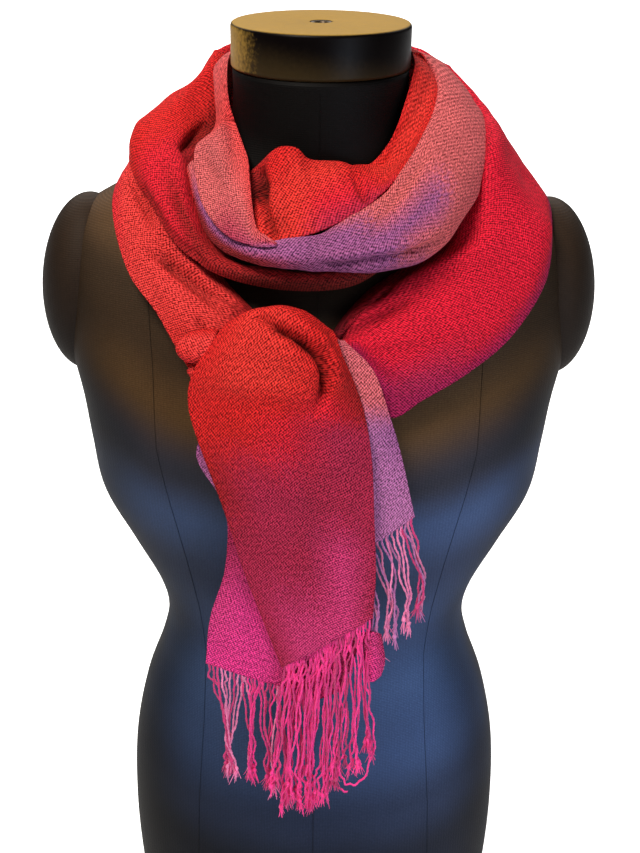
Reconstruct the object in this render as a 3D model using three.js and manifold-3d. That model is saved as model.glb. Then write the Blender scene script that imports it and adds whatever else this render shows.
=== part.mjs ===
// A fringed twill scarf, wound once round the neck of a limbless dress form and knotted in front.
//
// Millimetres, +Z up. The origin is the middle of the form's flat base and the scarf's knot faces -Y,
// so +X is on the right of someone who looks at the knot. The scarf is one long rectangle of cloth.
// Each stretch of it that shows is a thin wall, drawn through a short table of sections.

import * as THREE from "three";
import { mergeVertices } from "three/addons/utils/BufferGeometryUtils.js";
import Module from "manifold-3d";

const wasm = await Module();
wasm.setup();

// ---------------------------------------------------------------------------------------------
// Driving dimensions
// ---------------------------------------------------------------------------------------------

const CLOTH_WALL = 1.6; // soft twill with its air, as a wall
const SEAM_GAP = 0.4; // between neighbouring solids

const NECK_TOP = 731.7; // top of the covered neck
const CAP_BOTTOM = 732;
const CAP_TOP = 760;
const CAP_RADIUS = 57.5;
const CAP_EDGE = 2.5; // rounding of the lacquered cap
const CAP_HOLE_RADIUS = 7;

const PLATE_X = 158; // middle of an armhole plate's oval
const PLATE_Z = 586;
const PLATE_OUT = 31; // how far the oval reaches out, front to back and up
const PLATE_DEEP = 47;
const PLATE_HIGH = 62;
const PLATE_LEAN = 0.07; // radians, top inwards

const STRAND_RADIUS = 1.2;
const STRAND_SIDES = 3;
const STRAND_STEPS = 5;
const STRAND_SWAY = 0.9; // how far a strand wanders from its line
const STRAND_WAVES = 4.5; // radians of that wander over its length
const STRAND_UNEVEN = 0.07; // share by which strands differ in length
const BACKING_HEIGHT = 4;

// ---------------------------------------------------------------------------------------------
// Materials
// ---------------------------------------------------------------------------------------------

const fabric = (color) => new THREE.MeshStandardMaterial({ color, roughness: 0.85, metalness: 0 });

const JERSEY = fabric("#2f2a2c");
const PLATE_JERSEY = fabric("#2a2523");
const LACQUER = new THREE.MeshStandardMaterial({ color: "#1a100c", roughness: 0.2, metalness: 0 });
const RED = fabric("#cf2f35");
const CRIMSON = fabric("#d2253a");
const DARK_RED = fabric("#b3202c");
const CORAL = fabric("#d26166");
const CORAL_RED = fabric("#e03e3d");
const LILAC = fabric("#c06a9c");
const MAGENTA = fabric("#cf4b86");
const FRINGE_PINK = fabric("#cb5586");

// ---------------------------------------------------------------------------------------------
// Tables. Each row is one section.
// ---------------------------------------------------------------------------------------------

// The form, from its base up: half width, reach to the front and to the back, and how square the
// oval is (2 is an ellipse).
const FORM_SECTIONS = [
  { z: 0, half: 132, front: 84, back: 92, square: 2.3 },
  { z: 40, half: 138, front: 88, back: 100, square: 2.3 },
  { z: 90, half: 144, front: 91, back: 106, square: 2.3 },
  { z: 150, half: 146, front: 94, back: 111, square: 2.3 },
  { z: 210, half: 143, front: 93, back: 106, square: 2.25 },
  { z: 260, half: 133, front: 87, back: 94, square: 2.2 },
  { z: 300, half: 119, front: 82, back: 84, square: 2.15 },
  { z: 330, half: 113, front: 80, back: 80, square: 2.1 },
  { z: 360, half: 119, front: 82, back: 81, square: 2.1 },
  { z: 400, half: 138, front: 89, back: 86, square: 2.15 },
  { z: 440, half: 156, front: 101, back: 92, square: 2.2 },
  { z: 480, half: 161, front: 114, back: 95, square: 2.25 },
  { z: 515, half: 165, front: 117, back: 95, square: 2.25 },
  { z: 550, half: 172, front: 107, back: 93, square: 2.25 },
  { z: 580, half: 175, front: 97, back: 90, square: 2.25 },
  { z: 605, half: 176, front: 86, back: 87, square: 2.2 },
  { z: 625, half: 171, front: 74, back: 80, square: 2.2 },
  { z: 640, half: 158, front: 66, back: 74, square: 2.15 },
  { z: 652, half: 139, front: 62, back: 69, square: 2.1 },
  { z: 664, half: 114, front: 59, back: 65, square: 2.05 },
  { z: 676, half: 88, front: 57.5, back: 61, square: 2 },
  { z: 690, half: 66, front: 57, back: 58, square: 2 },
  { z: 705, half: 57.5, front: 56.8, back: 57, square: 2 },
  { z: NECK_TOP, half: 56.5, front: 56.5, back: 56.5, square: 2 },
];

// Stretches that go round the neck have sections in upright planes. az is the plane's angle in
// degrees, 0 at the front and 90 on the +X side, and each point is [radius, height].

// The red inside of the loop, from the neck out to the crest of its fold.
const COWL_BOWL = [
  { az: -34, neck: [67, 678], hump: [75, 679], hollow: [88, 667], crest: [103, 650] },
  { az: -20, neck: [63, 689], hump: [71, 694], hollow: [88, 675], crest: [110, 647] },
  { az: -6, neck: [61, 685], hump: [70, 688], hollow: [88, 671], crest: [110, 652] },
  { az: 8, neck: [61, 684], hump: [70, 687], hollow: [88, 676], crest: [106, 661] },
  { az: 20, neck: [62, 680], hump: [70, 682], hollow: [85, 677], crest: [99, 671] },
  { az: 32, neck: [63.5, 684], hump: [70, 680], hollow: [82, 680], crest: [92, 683] },
  { az: 46, neck: [63, 698], hump: [68, 691], hollow: [76, 690], crest: [84, 697] },
  { az: 62, neck: [60.5, 717], hump: [66, 713], hollow: [72, 709], crest: [79, 709] },
  { az: 82, neck: [60, 734], hump: [65, 731], hollow: [70, 726], crest: [75, 721] },
  { az: 100, neck: [61, 739], hump: [65, 737], hollow: [69, 734], crest: [73, 729] },
];

// The same fold's outside: coral on the right, lilac across the front, a narrow edge on the left.
const COWL_ROLL = [
  { az: -60, crest: [91, 681], shoulder: [93, 680.5], belly: [95, 678], lip: [95.5, 674], tuck: [93, 671] },
  { az: -50, crest: [94, 668], shoulder: [97, 666], belly: [99, 661], lip: [99, 653], tuck: [95, 650] },
  {
    az: -35, crest: [105.5, 653], shoulder: [107, 651],
    belly: [109, 647], lip: [108, 640], tuck: [103, 637],
  },
  {
    az: -20, crest: [112, 648], shoulder: [116, 646],
    belly: [118, 642], lip: [115, 636], tuck: [109, 634],
  },
  { az: -5, crest: [112, 653], shoulder: [118, 649], belly: [121, 642], lip: [117, 635], tuck: [110, 634] },
  { az: 10, crest: [108, 662], shoulder: [116, 655], belly: [121, 644], lip: [118, 634], tuck: [110, 632] },
  { az: 24, crest: [100, 674], shoulder: [112, 665], belly: [121, 649], lip: [118, 634], tuck: [109, 630] },
  { az: 38, crest: [91, 690], shoulder: [106, 680], belly: [119, 661], lip: [118, 641], tuck: [108, 633] },
  { az: 52, crest: [85, 703], shoulder: [100, 694], belly: [114, 676], lip: [114, 655], tuck: [104, 645] },
  { az: 70, crest: [80, 714], shoulder: [95, 707], belly: [110, 690], lip: [110, 675], tuck: [101, 669] },
  { az: 90, crest: [77, 726], shoulder: [91, 719], belly: [105, 703], lip: [105, 689], tuck: [97, 681] },
  { az: 112, crest: [76, 734], shoulder: [87, 730], belly: [96, 717], lip: [98, 701], tuck: [91, 691] },
  { az: 132, crest: [76, 737], shoulder: [83, 733], belly: [89, 725], lip: [90, 713], tuck: [85, 704] },
];

// The coral strand that comes down the left of the neck and slips under the crest in a point.
const COWL_LEFT_FOLD = [
  { az: -122, neck: [62, 738], middle: [66, 737], outer: [70, 733] },
  { az: -104, neck: [61, 736], middle: [66, 734], outer: [71, 729] },
  { az: -88, neck: [60, 723], middle: [65, 721], outer: [70, 714] },
  { az: -74, neck: [60, 711], middle: [67, 706], outer: [76, 698] },
  { az: -60, neck: [60.6, 699.5], middle: [77, 694], outer: [94, 687] },
  { az: -47, neck: [65, 691], middle: [84, 683], outer: [101, 667] },
  { az: -36, neck: [75, 687], middle: [94, 675], outer: [110, 656] },
  { az: -27, neck: [92, 679], middle: [104, 668], outer: [117, 650] },
  { az: -20, neck: [110, 659], middle: [115, 654], outer: [120, 647] },
  { az: -15, neck: [116, 653], middle: [118.5, 650.5], outer: [121, 647] },
];

// Where the loop closes behind the neck.
const NAPE_LOOP = [
  { az: 100.6, top: [61.5, 739], fold: [67, 738], low: [72, 731] },
  { az: 128, top: [62, 741], fold: [69, 739], low: [73, 727] },
  { az: 155, top: [62, 742], fold: [71, 740], low: [77, 724] },
  { az: 180, top: [62, 742], fold: [71, 739], low: [78, 721] },
  { az: 208, top: [62, 741], fold: [70, 738], low: [76, 724] },
  { az: 237.5, top: [62.5, 739], fold: [67, 737.5], low: [71, 733] },
];

// The outer turn behind the neck and down the upper back.
const NAPE_WRAP = [
  { az: 118, top: [96, 726], upper: [103, 718], lower: [120, 684], hem: [132, 640] },
  { az: 138, top: [91, 734], upper: [99, 722], lower: [108, 686], hem: [114, 640] },
  { az: 160, top: [84, 738], upper: [93, 727], lower: [100, 686], hem: [104, 626] },
  { az: 180, top: [82, 740], upper: [92, 728], lower: [99, 685], hem: [102, 617] },
  { az: 200, top: [82, 740], upper: [92, 728], lower: [100, 687], hem: [104, 626] },
  { az: 222, top: [82, 738], upper: [93, 725], lower: [106, 690], hem: [116, 638] },
  { az: 240.5, top: [80, 735], upper: [91, 722], lower: [112, 693], hem: [131, 645] },
];

// The red fold on the left shoulder. In front it turns under the loop as a narrow dark band.
const LEFT_SHOULDER_FOLD = [
  { az: -119, inner: [79, 735], ridge: [84, 732], middle: [89, 724], outer: [91, 712] },
  { az: -105, inner: [75, 724], ridge: [81, 724], middle: [88, 715], outer: [91, 702] },
  { az: -94, inner: [74, 713], ridge: [88, 715], middle: [106, 705], outer: [112, 692] },
  { az: -83, inner: [81, 702], ridge: [99, 704], middle: [121, 691], outer: [124, 678] },
  { az: -70, inner: [94, 690], ridge: [107, 689], middle: [119, 678], outer: [122, 665] },
  { az: -58, inner: [101, 676], ridge: [109, 673], middle: [118, 664], outer: [120, 652] },
  { az: -46, inner: [107, 653], ridge: [112, 652], middle: [119, 646], outer: [119, 636] },
  { az: -34, inner: [108, 634], ridge: [113, 634], middle: [116, 631], outer: [114, 625] },
  { az: -20, inner: [104, 629], ridge: [109, 628], middle: [111, 625], outer: [108, 619] },
  { az: -4, inner: [102, 628], ridge: [107, 627], middle: [108, 623], outer: [104, 617] },
  { az: 12, inner: [99, 628], ridge: [103, 627], middle: [104, 623], outer: [101, 619] },
  { az: 27, inner: [93, 635], ridge: [97, 635], middle: [98, 631], outer: [95, 628] },
];

// The coral-red end that comes over the left shoulder, under the fold, down to the knot.
const LEFT_FALL = [
  { az: -118.8, inner: [95, 714], upper: [107, 701], middle: [119, 679], outer: [131, 645] },
  { az: -102, inner: [95, 697], upper: [107, 692], middle: [120, 679], outer: [132, 659] },
  { az: -87, inner: [98, 684], upper: [110, 680], middle: [122, 673], outer: [132, 660] },
  { az: -76, inner: [102, 677], upper: [115, 667.4], middle: [128, 661.5], outer: [137, 652] },
  { az: -66, inner: [106, 661], upper: [119, 652.4], middle: [132, 646], outer: [140, 636] },
  { az: -56, inner: [109, 646], upper: [122, 641], middle: [134, 632], outer: [141, 616] },
  { az: -46, inner: [109, 629], upper: [121, 625], middle: [133, 617], outer: [139, 600] },
  { az: -38, inner: [109, 619], upper: [121, 615], middle: [133, 605], outer: [141, 583] },
  { az: -31, inner: [111, 612], upper: [121, 607], middle: [133, 593], outer: [141, 567] },
  { az: -22.5, inner: [114, 606], upper: [120, 601], middle: [127, 592], outer: [132, 577] },
];

// The wide crimson end that comes over the right shoulder and narrows into the knot.
const RIGHT_DRAPE = [
  {
    az: 117.5, inner: [96, 726], upper: [103, 718],
    middle: [112, 701], lower: [123, 673], hem: [132, 640],
  },
  {
    az: 104, inner: [103, 713], upper: [109, 705],
    middle: [119, 690], lower: [132, 667], hem: [144, 643.2],
  },
  { az: 90, inner: [109, 703], upper: [117, 695], middle: [129, 678], lower: [140, 664], hem: [149, 652] },
  { az: 78, inner: [114, 697], upper: [125, 684], middle: [138, 664], lower: [149, 652], hem: [154, 641] },
  { az: 66, inner: [118, 682], upper: [129, 667], middle: [144, 648], lower: [155, 631], hem: [158, 612] },
  { az: 54, inner: [113, 641], upper: [126, 640], middle: [140, 622], lower: [149, 603], hem: [151, 584] },
  { az: 42, inner: [107, 629], upper: [121, 622], middle: [133, 603], lower: [140, 583], hem: [141, 565] },
  { az: 30, inner: [105, 622], upper: [116, 611], middle: [126, 591], lower: [132, 570], hem: [133, 551] },
  { az: 20, inner: [104, 616], upper: [111, 604], middle: [118, 585], lower: [124, 563], hem: [128, 541] },
  { az: 12, inner: [106, 609], upper: [109, 603], middle: [113, 596], lower: [116, 588], hem: [118, 580] },
];

// Stretches that hang have level sections, from left to right, and each point is [x, y, z].

// The knot's top roll and the end that hangs from it.
const FRONT_TAIL = [
  {
    left: [-44, -111.2, 594], leftMid: [-35, -112, 600], middle: [-24, -112, 603],
    rightMid: [-10, -112, 600], right: [0, -113, 593],
  },
  {
    left: [-52, -121, 603], leftMid: [-40, -125, 611], middle: [-25, -128, 615],
    rightMid: [-8, -128, 612], right: [9, -123, 598],
  },
  {
    left: [-64, -129, 591], leftMid: [-44, -137, 600], middle: [-23, -142, 603],
    rightMid: [-2, -140, 598], right: [15, -128, 584],
  },
  {
    left: [-75, -131, 573], leftMid: [-49, -142, 582], middle: [-23, -147, 584],
    rightMid: [3, -144, 578], right: [23, -131, 566],
  },
  {
    left: [-78, -132, 553], leftMid: [-49, -142, 558], middle: [-21, -146, 560],
    rightMid: [7, -143, 555], right: [29, -131.4, 547],
  },
  {
    left: [-72, -135, 528], leftMid: [-44, -141, 530], middle: [-16, -144, 530],
    rightMid: [11, -142, 526], right: [34, -136, 520],
  },
  {
    left: [-58, -137, 484], leftMid: [-34, -140, 482], middle: [-10, -141, 480],
    rightMid: [14, -140, 477], right: [37, -137, 474],
  },
  {
    left: [-45, -135, 434], leftMid: [-25, -138, 434], middle: [-4, -138, 434],
    rightMid: [18, -137, 434], right: [39, -135, 435],
  },
  {
    left: [-22, -133, 361], leftMid: [-7, -135, 371], middle: [8, -135, 381],
    rightMid: [23, -134, 391], right: [38, -133, 401],
  },
];

// The other end behind it: its lilac side shows on the right, its magenta side on the left.
const RIGHT_STRIP = [
  { inner: [1, -117.5, 586], middle: [9, -118.5, 591], edge: [16, -119, 591] },
  { inner: [4, -121, 572], middle: [19, -123, 576], edge: [34, -123, 573] },
  { inner: [11, -126, 545], middle: [29, -129.3, 548], edge: [44, -127, 547] },
  { inner: [16, -127, 508], middle: [35, -129, 514], edge: [53, -127, 517] },
  { inner: [22, -127, 444], middle: [43, -129, 459], edge: [63, -127, 474] },
];

const LEFT_UNDER_TAIL = [
  { left: [-50, -123.9, 579], middle: [-34, -127, 586], right: [-16, -124, 586] },
  { left: [-60, -126, 548], middle: [-37, -128, 548], right: [-11, -126, 548] },
  { left: [-75, -125, 516], middle: [-38, -128, 512], right: [-8, -126, 508] },
  { left: [-58, -125, 478], middle: [-32, -128, 474], right: [-6, -126, 470] },
  { left: [-59, -122, 432], middle: [-33, -127, 427], right: [-5, -125, 422] },
  { left: [-70, -121, 392], middle: [-41, -126, 385], right: [-6, -125, 378] },
  { left: [-74, -121, 355], middle: [-42, -124, 345], right: [-8, -125, 335] },
];

// Fringe. Each strand hangs from the hem between two ends; length and sideways drift change from
// the first strand to the last.
const TAIL_FRINGE = {
  from: [-21, -133, 361.4],
  to: [37, -133, 400],
  count: 15,
  length: [106, 100],
  drift: [-9, 5],
};
const STRIP_FRINGE = {
  from: [24, -127.3, 444.9],
  to: [62, -127, 472.8],
  count: 10,
  length: [92, 84],
  drift: [4, 13],
};
const UNDER_TAIL_FRINGE = {
  from: [-73, -121.3, 354.3],
  to: [-10, -125, 335.2],
  count: 14,
  length: [92, 88],
  drift: [4, 3],
};

// Main creases of each stretch, as [along, across] places from 0 to 1, with the push along the
// wall's normal (a trough is negative) and the half width, in millimetres.
const CREASES = {
  bowl: [
    { from: [0.05, 0.75], to: [0.3, 0.35], push: -3, width: 7 },
    { from: [0.2, 0.55], to: [0.6, 0.75], push: 2.5, width: 7 },
  ],
  roll: [
    { from: [0.35, 0.45], to: [0.95, 0.3], push: -3, width: 8 },
    { from: [0.3, 0.6], to: [0.7, 0.75], push: 2.5, width: 7 },
  ],
  shoulderFold: [
    { from: [0.2, 0.35], to: [0.6, 0.5], push: -2.5, width: 9 },
  ],
  leftFall: [
    { from: [0.35, 0.35], to: [0.95, 0.5], push: -4, width: 7 },
    { from: [0.3, 0.75], to: [0.85, 0.8], push: 2.5, width: 8 },
  ],
  rightDrape: [
    { from: [0.3, 0.4], to: [0.9, 0.25], push: -3.5, width: 9 },
    { from: [0.35, 0.8], to: [0.85, 0.72], push: 3, width: 10 },
    { from: [0.45, 0.6], to: [0.95, 0.5], push: -3, width: 9 },
  ],
  frontTail: [
    { from: [0.12, 0.62], to: [0.48, 0.9], push: -4, width: 7 },
    { from: [0.3, 0.25], to: [0.75, 0.4], push: 2, width: 10 },
  ],
  napeWrap: [
    { from: [0.05, 0.35], to: [0.95, 0.4], push: -3.5, width: 9 },
    { from: [0.1, 0.7], to: [0.9, 0.6], push: 3, width: 10 },
  ],
};

// ---------------------------------------------------------------------------------------------
// Geometry helpers
// ---------------------------------------------------------------------------------------------

/** A point at an angle round the neck's axis. */
function aroundNeck(az, [radius, z]) {
  const angle = THREE.MathUtils.degToRad(az);
  return new THREE.Vector3(radius * Math.sin(angle), -radius * Math.cos(angle), z);
}

/** Turns a table with an az column into rows of points. */
function uprightSections(table) {
  return table.map(({ az, ...points }) => Object.values(points).map((point) => aroundNeck(az, point)));
}

/** Turns a table of [x, y, z] columns into rows of points. */
function levelSections(table) {
  return table.map((row) => Object.values(row).map((point) => new THREE.Vector3(...point)));
}

/** Reads count + 1 even steps of a smooth curve through the points. */
function smooth(points, count) {
  return new THREE.CatmullRomCurve3(points, false, "catmullrom").getPoints(count);
}

/** A grid of points, [along][across], through the sections. */
function loft(sections, along, across) {
  const finer = sections.map((section) => smooth(section, across));
  const columns = finer[0].map((_, j) => smooth(finer.map((row) => row[j]), along));
  return columns[0].map((_, i) => columns.map((column) => column[i]));
}

/** Unit normals of a grid of points. */
function gridNormals(grid) {
  const last = grid.length - 1;
  const end = grid[0].length - 1;
  return grid.map((row, i) => row.map((_, j) => {
    const alongStep = grid[Math.min(i + 1, last)][j].clone().sub(grid[Math.max(i - 1, 0)][j]);
    const acrossStep = row[Math.min(j + 1, end)].clone().sub(row[Math.max(j - 1, 0)]);
    return alongStep.cross(acrossStep).normalize();
  }));
}

/** How strongly one crease acts at a place: full on its line, fading sideways and at its ends. */
function creaseAt(crease, point, start, finish) {
  const line = finish.clone().sub(start);
  const t = point.clone().sub(start).dot(line) / line.lengthSq();
  const nearest = start.clone().addScaledVector(line, THREE.MathUtils.clamp(t, 0, 1));
  const off = point.distanceTo(nearest) / crease.width;
  return crease.push * Math.exp(-off * off);
}

/** Pushes the grid along its normals at its creases. */
function pressCreases(grid, creases, side) {
  const normals = gridNormals(grid);
  const last = grid.length - 1;
  const end = grid[0].length - 1;
  const place = ([along, across]) => grid[Math.round(along * last)][Math.round(across * end)];
  return grid.map((row, i) => row.map((point, j) => {
    const edge = Math.sin((Math.PI * i) / last) * Math.sin((Math.PI * j) / end);
    const push = creases.reduce(
      (sum, crease) => sum + creaseAt(crease, point, place(crease.from), place(crease.to)), 0);
    return point.clone().addScaledVector(normals[i][j], side * push * Math.min(1, 2.5 * edge));
  }));
}

/** A closed wall of the cloth's thickness on both sides of a grid of points. */
function wallGeometry(grid) {
  const normals = gridNormals(grid);
  const last = grid.length - 1;
  const end = grid[0].length - 1;
  const layer = (side) => grid.map((row, i) =>
    row.map((point, j) => point.clone().addScaledVector(normals[i][j], (side * CLOTH_WALL) / 2)));
  const face = layer(1);
  const back = layer(-1);
  const corners = [];
  const quad = (a, b, c, d) => corners.push(a, b, c, a, c, d);
  for (let i = 0; i < last; i += 1) {
    for (let j = 0; j < end; j += 1) {
      quad(face[i][j], face[i + 1][j], face[i + 1][j + 1], face[i][j + 1]);
      quad(back[i][j], back[i][j + 1], back[i + 1][j + 1], back[i + 1][j]);
    }
    quad(face[i][0], back[i][0], back[i + 1][0], face[i + 1][0]);
    quad(face[i + 1][end], back[i + 1][end], back[i][end], face[i][end]);
  }
  for (let j = 0; j < end; j += 1) {
    quad(face[0][j + 1], back[0][j + 1], back[0][j], face[0][j]);
    quad(face[last][j], back[last][j], back[last][j + 1], face[last][j + 1]);
  }
  return new THREE.BufferGeometry().setFromPoints(corners);
}

/** A closed body through rings of points, with flat ends. The rings turn left seen from above. */
function ringBody(rings) {
  const count = rings[0].length;
  const corners = [];
  rings.slice(1).forEach((upper, i) => {
    const lower = rings[i];
    for (let j = 0; j < count; j += 1) {
      const k = (j + 1) % count;
      corners.push(lower[j], lower[k], upper[k], lower[j], upper[k], upper[j]);
    }
  });
  const bottom = rings[0];
  const top = rings[rings.length - 1];
  for (let j = 1; j < count - 1; j += 1) {
    corners.push(bottom[0], bottom[j + 1], bottom[j]);
    corners.push(top[0], top[j], top[j + 1]);
  }
  return new THREE.BufferGeometry().setFromPoints(corners);
}

function toSolid(geometry) {
  const bare = new THREE.BufferGeometry();
  const shape = geometry.index ? geometry.toNonIndexed() : geometry;
  bare.setAttribute("position", shape.getAttribute("position"));
  const merged = mergeVertices(bare, 1e-3);
  return new wasm.Manifold(new wasm.Mesh({
    numProp: 3,
    vertProperties: merged.getAttribute("position").array,
    triVerts: new Uint32Array(merged.index.array),
  }));
}

function toGeometry(solid) {
  const { vertProperties, triVerts } = solid.getMesh();
  const geometry = new THREE.BufferGeometry();
  geometry.setAttribute("position", new THREE.BufferAttribute(vertProperties, 3));
  geometry.setIndex(new THREE.BufferAttribute(triVerts, 1));
  return geometry;
}

function piece(name, geometry, material) {
  const mesh = new THREE.Mesh(geometry, material);
  mesh.name = name;
  return mesh;
}

// ---------------------------------------------------------------------------------------------
// The dress form
// ---------------------------------------------------------------------------------------------

/** One level ring of the form, grown outwards by a clearance. */
function formRing({ z, half, front, back, square }, sides, grow) {
  return Array.from({ length: sides }, (_, k) => {
    const angle = (2 * Math.PI * k) / sides;
    const round = (value) => Math.sign(value) * Math.abs(value) ** (2 / square);
    const depth = Math.sin(angle) < 0 ? front : back;
    return new THREE.Vector3(
      (half + grow) * round(Math.cos(angle)), (depth + grow) * round(Math.sin(angle)), z);
  });
}

function formBody(sides, grow) {
  return ringBody(FORM_SECTIONS.map((section) => formRing(section, sides, grow)));
}

function formCap() {
  const outer = CAP_RADIUS - CAP_EDGE;
  const rim = new THREE.Path();
  rim.moveTo(CAP_HOLE_RADIUS, CAP_BOTTOM);
  rim.lineTo(outer, CAP_BOTTOM);
  rim.absarc(outer, CAP_BOTTOM + CAP_EDGE, CAP_EDGE, -Math.PI / 2, 0, false);
  rim.absarc(outer, CAP_TOP - CAP_EDGE, CAP_EDGE, 0, Math.PI / 2, false);
  rim.lineTo(CAP_HOLE_RADIUS, CAP_TOP);
  rim.lineTo(CAP_HOLE_RADIUS, CAP_BOTTOM);
  return new THREE.LatheGeometry(rim.getPoints(3), 36).rotateX(Math.PI / 2);
}

/** The covered oval over an armhole, cut to lie on the form's side. */
function armholePlate(side) {
  const oval = new THREE.SphereGeometry(1, 20, 14);
  oval.scale(PLATE_OUT, PLATE_DEEP, PLATE_HIGH);
  oval.rotateY(-side * PLATE_LEAN);
  oval.translate(side * PLATE_X, 0, PLATE_Z);
  return toGeometry(toSolid(oval).subtract(toSolid(formBody(40, SEAM_GAP))));
}

// ---------------------------------------------------------------------------------------------
// The scarf
// ---------------------------------------------------------------------------------------------

/** One stretch of cloth: sections, a grid fine enough for its folds, and its creases. */
function stretch(sections, along, across, creases = [], side = 1) {
  return wallGeometry(pressCreases(loft(sections, along, across), creases, side));
}

/** A strand: a thin prism down from its root, swaying as it goes. */
function strandGeometry(root, length, drift, turn) {
  const rings = Array.from({ length: STRAND_STEPS + 1 }, (_, step) => {
    const t = 1 - step / STRAND_STEPS;
    const phase = turn + STRAND_WAVES * t;
    const x = root.x + drift * t * t + STRAND_SWAY * Math.sin(phase) * t;
    const y = root.y + STRAND_SWAY * Math.cos(phase) * t;
    return Array.from({ length: STRAND_SIDES }, (_, k) => {
      const angle = turn + (2 * Math.PI * k) / STRAND_SIDES;
      return new THREE.Vector3(
        x + STRAND_RADIUS * Math.cos(angle), y + STRAND_RADIUS * Math.sin(angle), root.z - length * t);
    });
  });
  return ringBody(rings);
}

/** The narrow strip below a hem that holds the strands' roots. */
function backingGeometry(from, to) {
  const half = CLOTH_WALL / 2;
  const ring = (end) => [
    new THREE.Vector3(end.x, end.y - half, end.z - BACKING_HEIGHT),
    new THREE.Vector3(end.x, end.y + half, end.z - BACKING_HEIGHT),
    new THREE.Vector3(end.x, end.y + half, end.z - SEAM_GAP),
    new THREE.Vector3(end.x, end.y - half, end.z - SEAM_GAP),
  ];
  return ringBody([ring(from), ring(to)]);
}

function fringe({ from, to, count, length, drift }) {
  const start = new THREE.Vector3(...from);
  const finish = new THREE.Vector3(...to);
  let solid = toSolid(backingGeometry(start, finish));
  for (let k = 0; k < count; k += 1) {
    const t = (k + 0.5) / count;
    const root = start.clone().lerp(finish, t);
    root.z -= BACKING_HEIGHT / 2;
    const uneven = 1 - STRAND_UNEVEN * (1 - Math.cos(5 * k));
    const reach = THREE.MathUtils.lerp(length[0], length[1], t) * uneven;
    const lean = THREE.MathUtils.lerp(drift[0], drift[1], t);
    const turn = 0.7 * Math.sin(k);
    solid = solid.add(toSolid(strandGeometry(root, reach, lean, turn)));
  }
  return toGeometry(solid);
}

// ---------------------------------------------------------------------------------------------
// Assembly
// ---------------------------------------------------------------------------------------------

const form = new THREE.Group();
form.add(
  piece("form_torso", formBody(40, 0), JERSEY),
  piece("form_neck_cap", formCap(), LACQUER),
  piece("form_armhole_plate_left", armholePlate(-1), PLATE_JERSEY),
  piece("form_armhole_plate_right", armholePlate(1), PLATE_JERSEY),
);

const scarf = new THREE.Group();
scarf.add(
  piece("cowl_bowl", stretch(uprightSections(COWL_BOWL), 27, 9, CREASES.bowl, -1), RED),
  piece("cowl_roll", stretch(uprightSections(COWL_ROLL), 30, 10, CREASES.roll, -1), CORAL),
  piece("cowl_left_fold", stretch(uprightSections(COWL_LEFT_FOLD), 24, 6), CORAL),
  piece("nape_loop", stretch(uprightSections(NAPE_LOOP), 16, 6), DARK_RED),
  piece("nape_wrap", stretch(uprightSections(NAPE_WRAP), 18, 9, CREASES.napeWrap, -1), CRIMSON),
  piece("left_shoulder_fold",
    stretch(uprightSections(LEFT_SHOULDER_FOLD), 28, 7, CREASES.shoulderFold, -1), RED),
  piece("left_front_fall", stretch(uprightSections(LEFT_FALL), 24, 9, CREASES.leftFall, -1), CORAL_RED),
  piece("right_shoulder_drape",
    stretch(uprightSections(RIGHT_DRAPE), 27, 12, CREASES.rightDrape, 1), CRIMSON),
  piece("front_tail", stretch(levelSections(FRONT_TAIL), 26, 12, CREASES.frontTail, 1), RED),
  piece("right_tail_strip", stretch(levelSections(RIGHT_STRIP), 16, 5), LILAC),
  piece("left_under_tail", stretch(levelSections(LEFT_UNDER_TAIL), 18, 6), MAGENTA),
  piece("front_tail_fringe", fringe(TAIL_FRINGE), FRINGE_PINK),
  piece("right_strip_fringe", fringe(STRIP_FRINGE), FRINGE_PINK),
  piece("left_under_tail_fringe", fringe(UNDER_TAIL_FRINGE), FRINGE_PINK),
);

const model = new THREE.Group();
model.add(form, scarf);

export default model;
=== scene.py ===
"""Looks of a fringed twill scarf, wound round a limbless dress form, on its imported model.

The frame is in metres, +Z up, and the scarf's knot faces -Y. Tables hold millimetres and are
turned into metres as they are read. Each stretch of cloth is a thin shell on the same sections
as its solid, with finer creases.
"""

import logging
import math
from dataclasses import dataclass, field
from enum import Enum
from typing import ClassVar

import bpy
import numpy as np
from mathutils import Euler, Matrix, Vector

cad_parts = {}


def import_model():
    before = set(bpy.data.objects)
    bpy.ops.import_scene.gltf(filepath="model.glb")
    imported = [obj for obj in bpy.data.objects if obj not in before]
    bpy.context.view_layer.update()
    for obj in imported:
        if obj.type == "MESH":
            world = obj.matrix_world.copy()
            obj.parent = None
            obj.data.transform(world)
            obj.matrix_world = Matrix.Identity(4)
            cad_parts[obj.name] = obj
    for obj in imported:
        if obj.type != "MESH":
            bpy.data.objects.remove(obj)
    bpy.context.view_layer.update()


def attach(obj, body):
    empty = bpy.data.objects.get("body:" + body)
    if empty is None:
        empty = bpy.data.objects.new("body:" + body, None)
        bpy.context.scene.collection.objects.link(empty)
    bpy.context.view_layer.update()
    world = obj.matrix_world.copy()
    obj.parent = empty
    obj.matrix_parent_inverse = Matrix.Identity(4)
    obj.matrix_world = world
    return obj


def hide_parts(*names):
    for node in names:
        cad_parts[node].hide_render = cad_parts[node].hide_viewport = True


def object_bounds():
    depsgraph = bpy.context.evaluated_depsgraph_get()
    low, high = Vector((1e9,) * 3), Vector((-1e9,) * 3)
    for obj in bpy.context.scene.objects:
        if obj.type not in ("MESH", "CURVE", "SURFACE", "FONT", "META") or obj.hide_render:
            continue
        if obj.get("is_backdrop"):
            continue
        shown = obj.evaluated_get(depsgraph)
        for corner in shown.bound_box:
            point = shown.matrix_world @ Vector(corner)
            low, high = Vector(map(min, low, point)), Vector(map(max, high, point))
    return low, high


LOG = logging.getLogger("scarf")
MM = 0.001
BODY = "root"
SHELL = 1.1 * MM  # thickness of the visible cloth
TURN = 2 * math.pi
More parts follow.
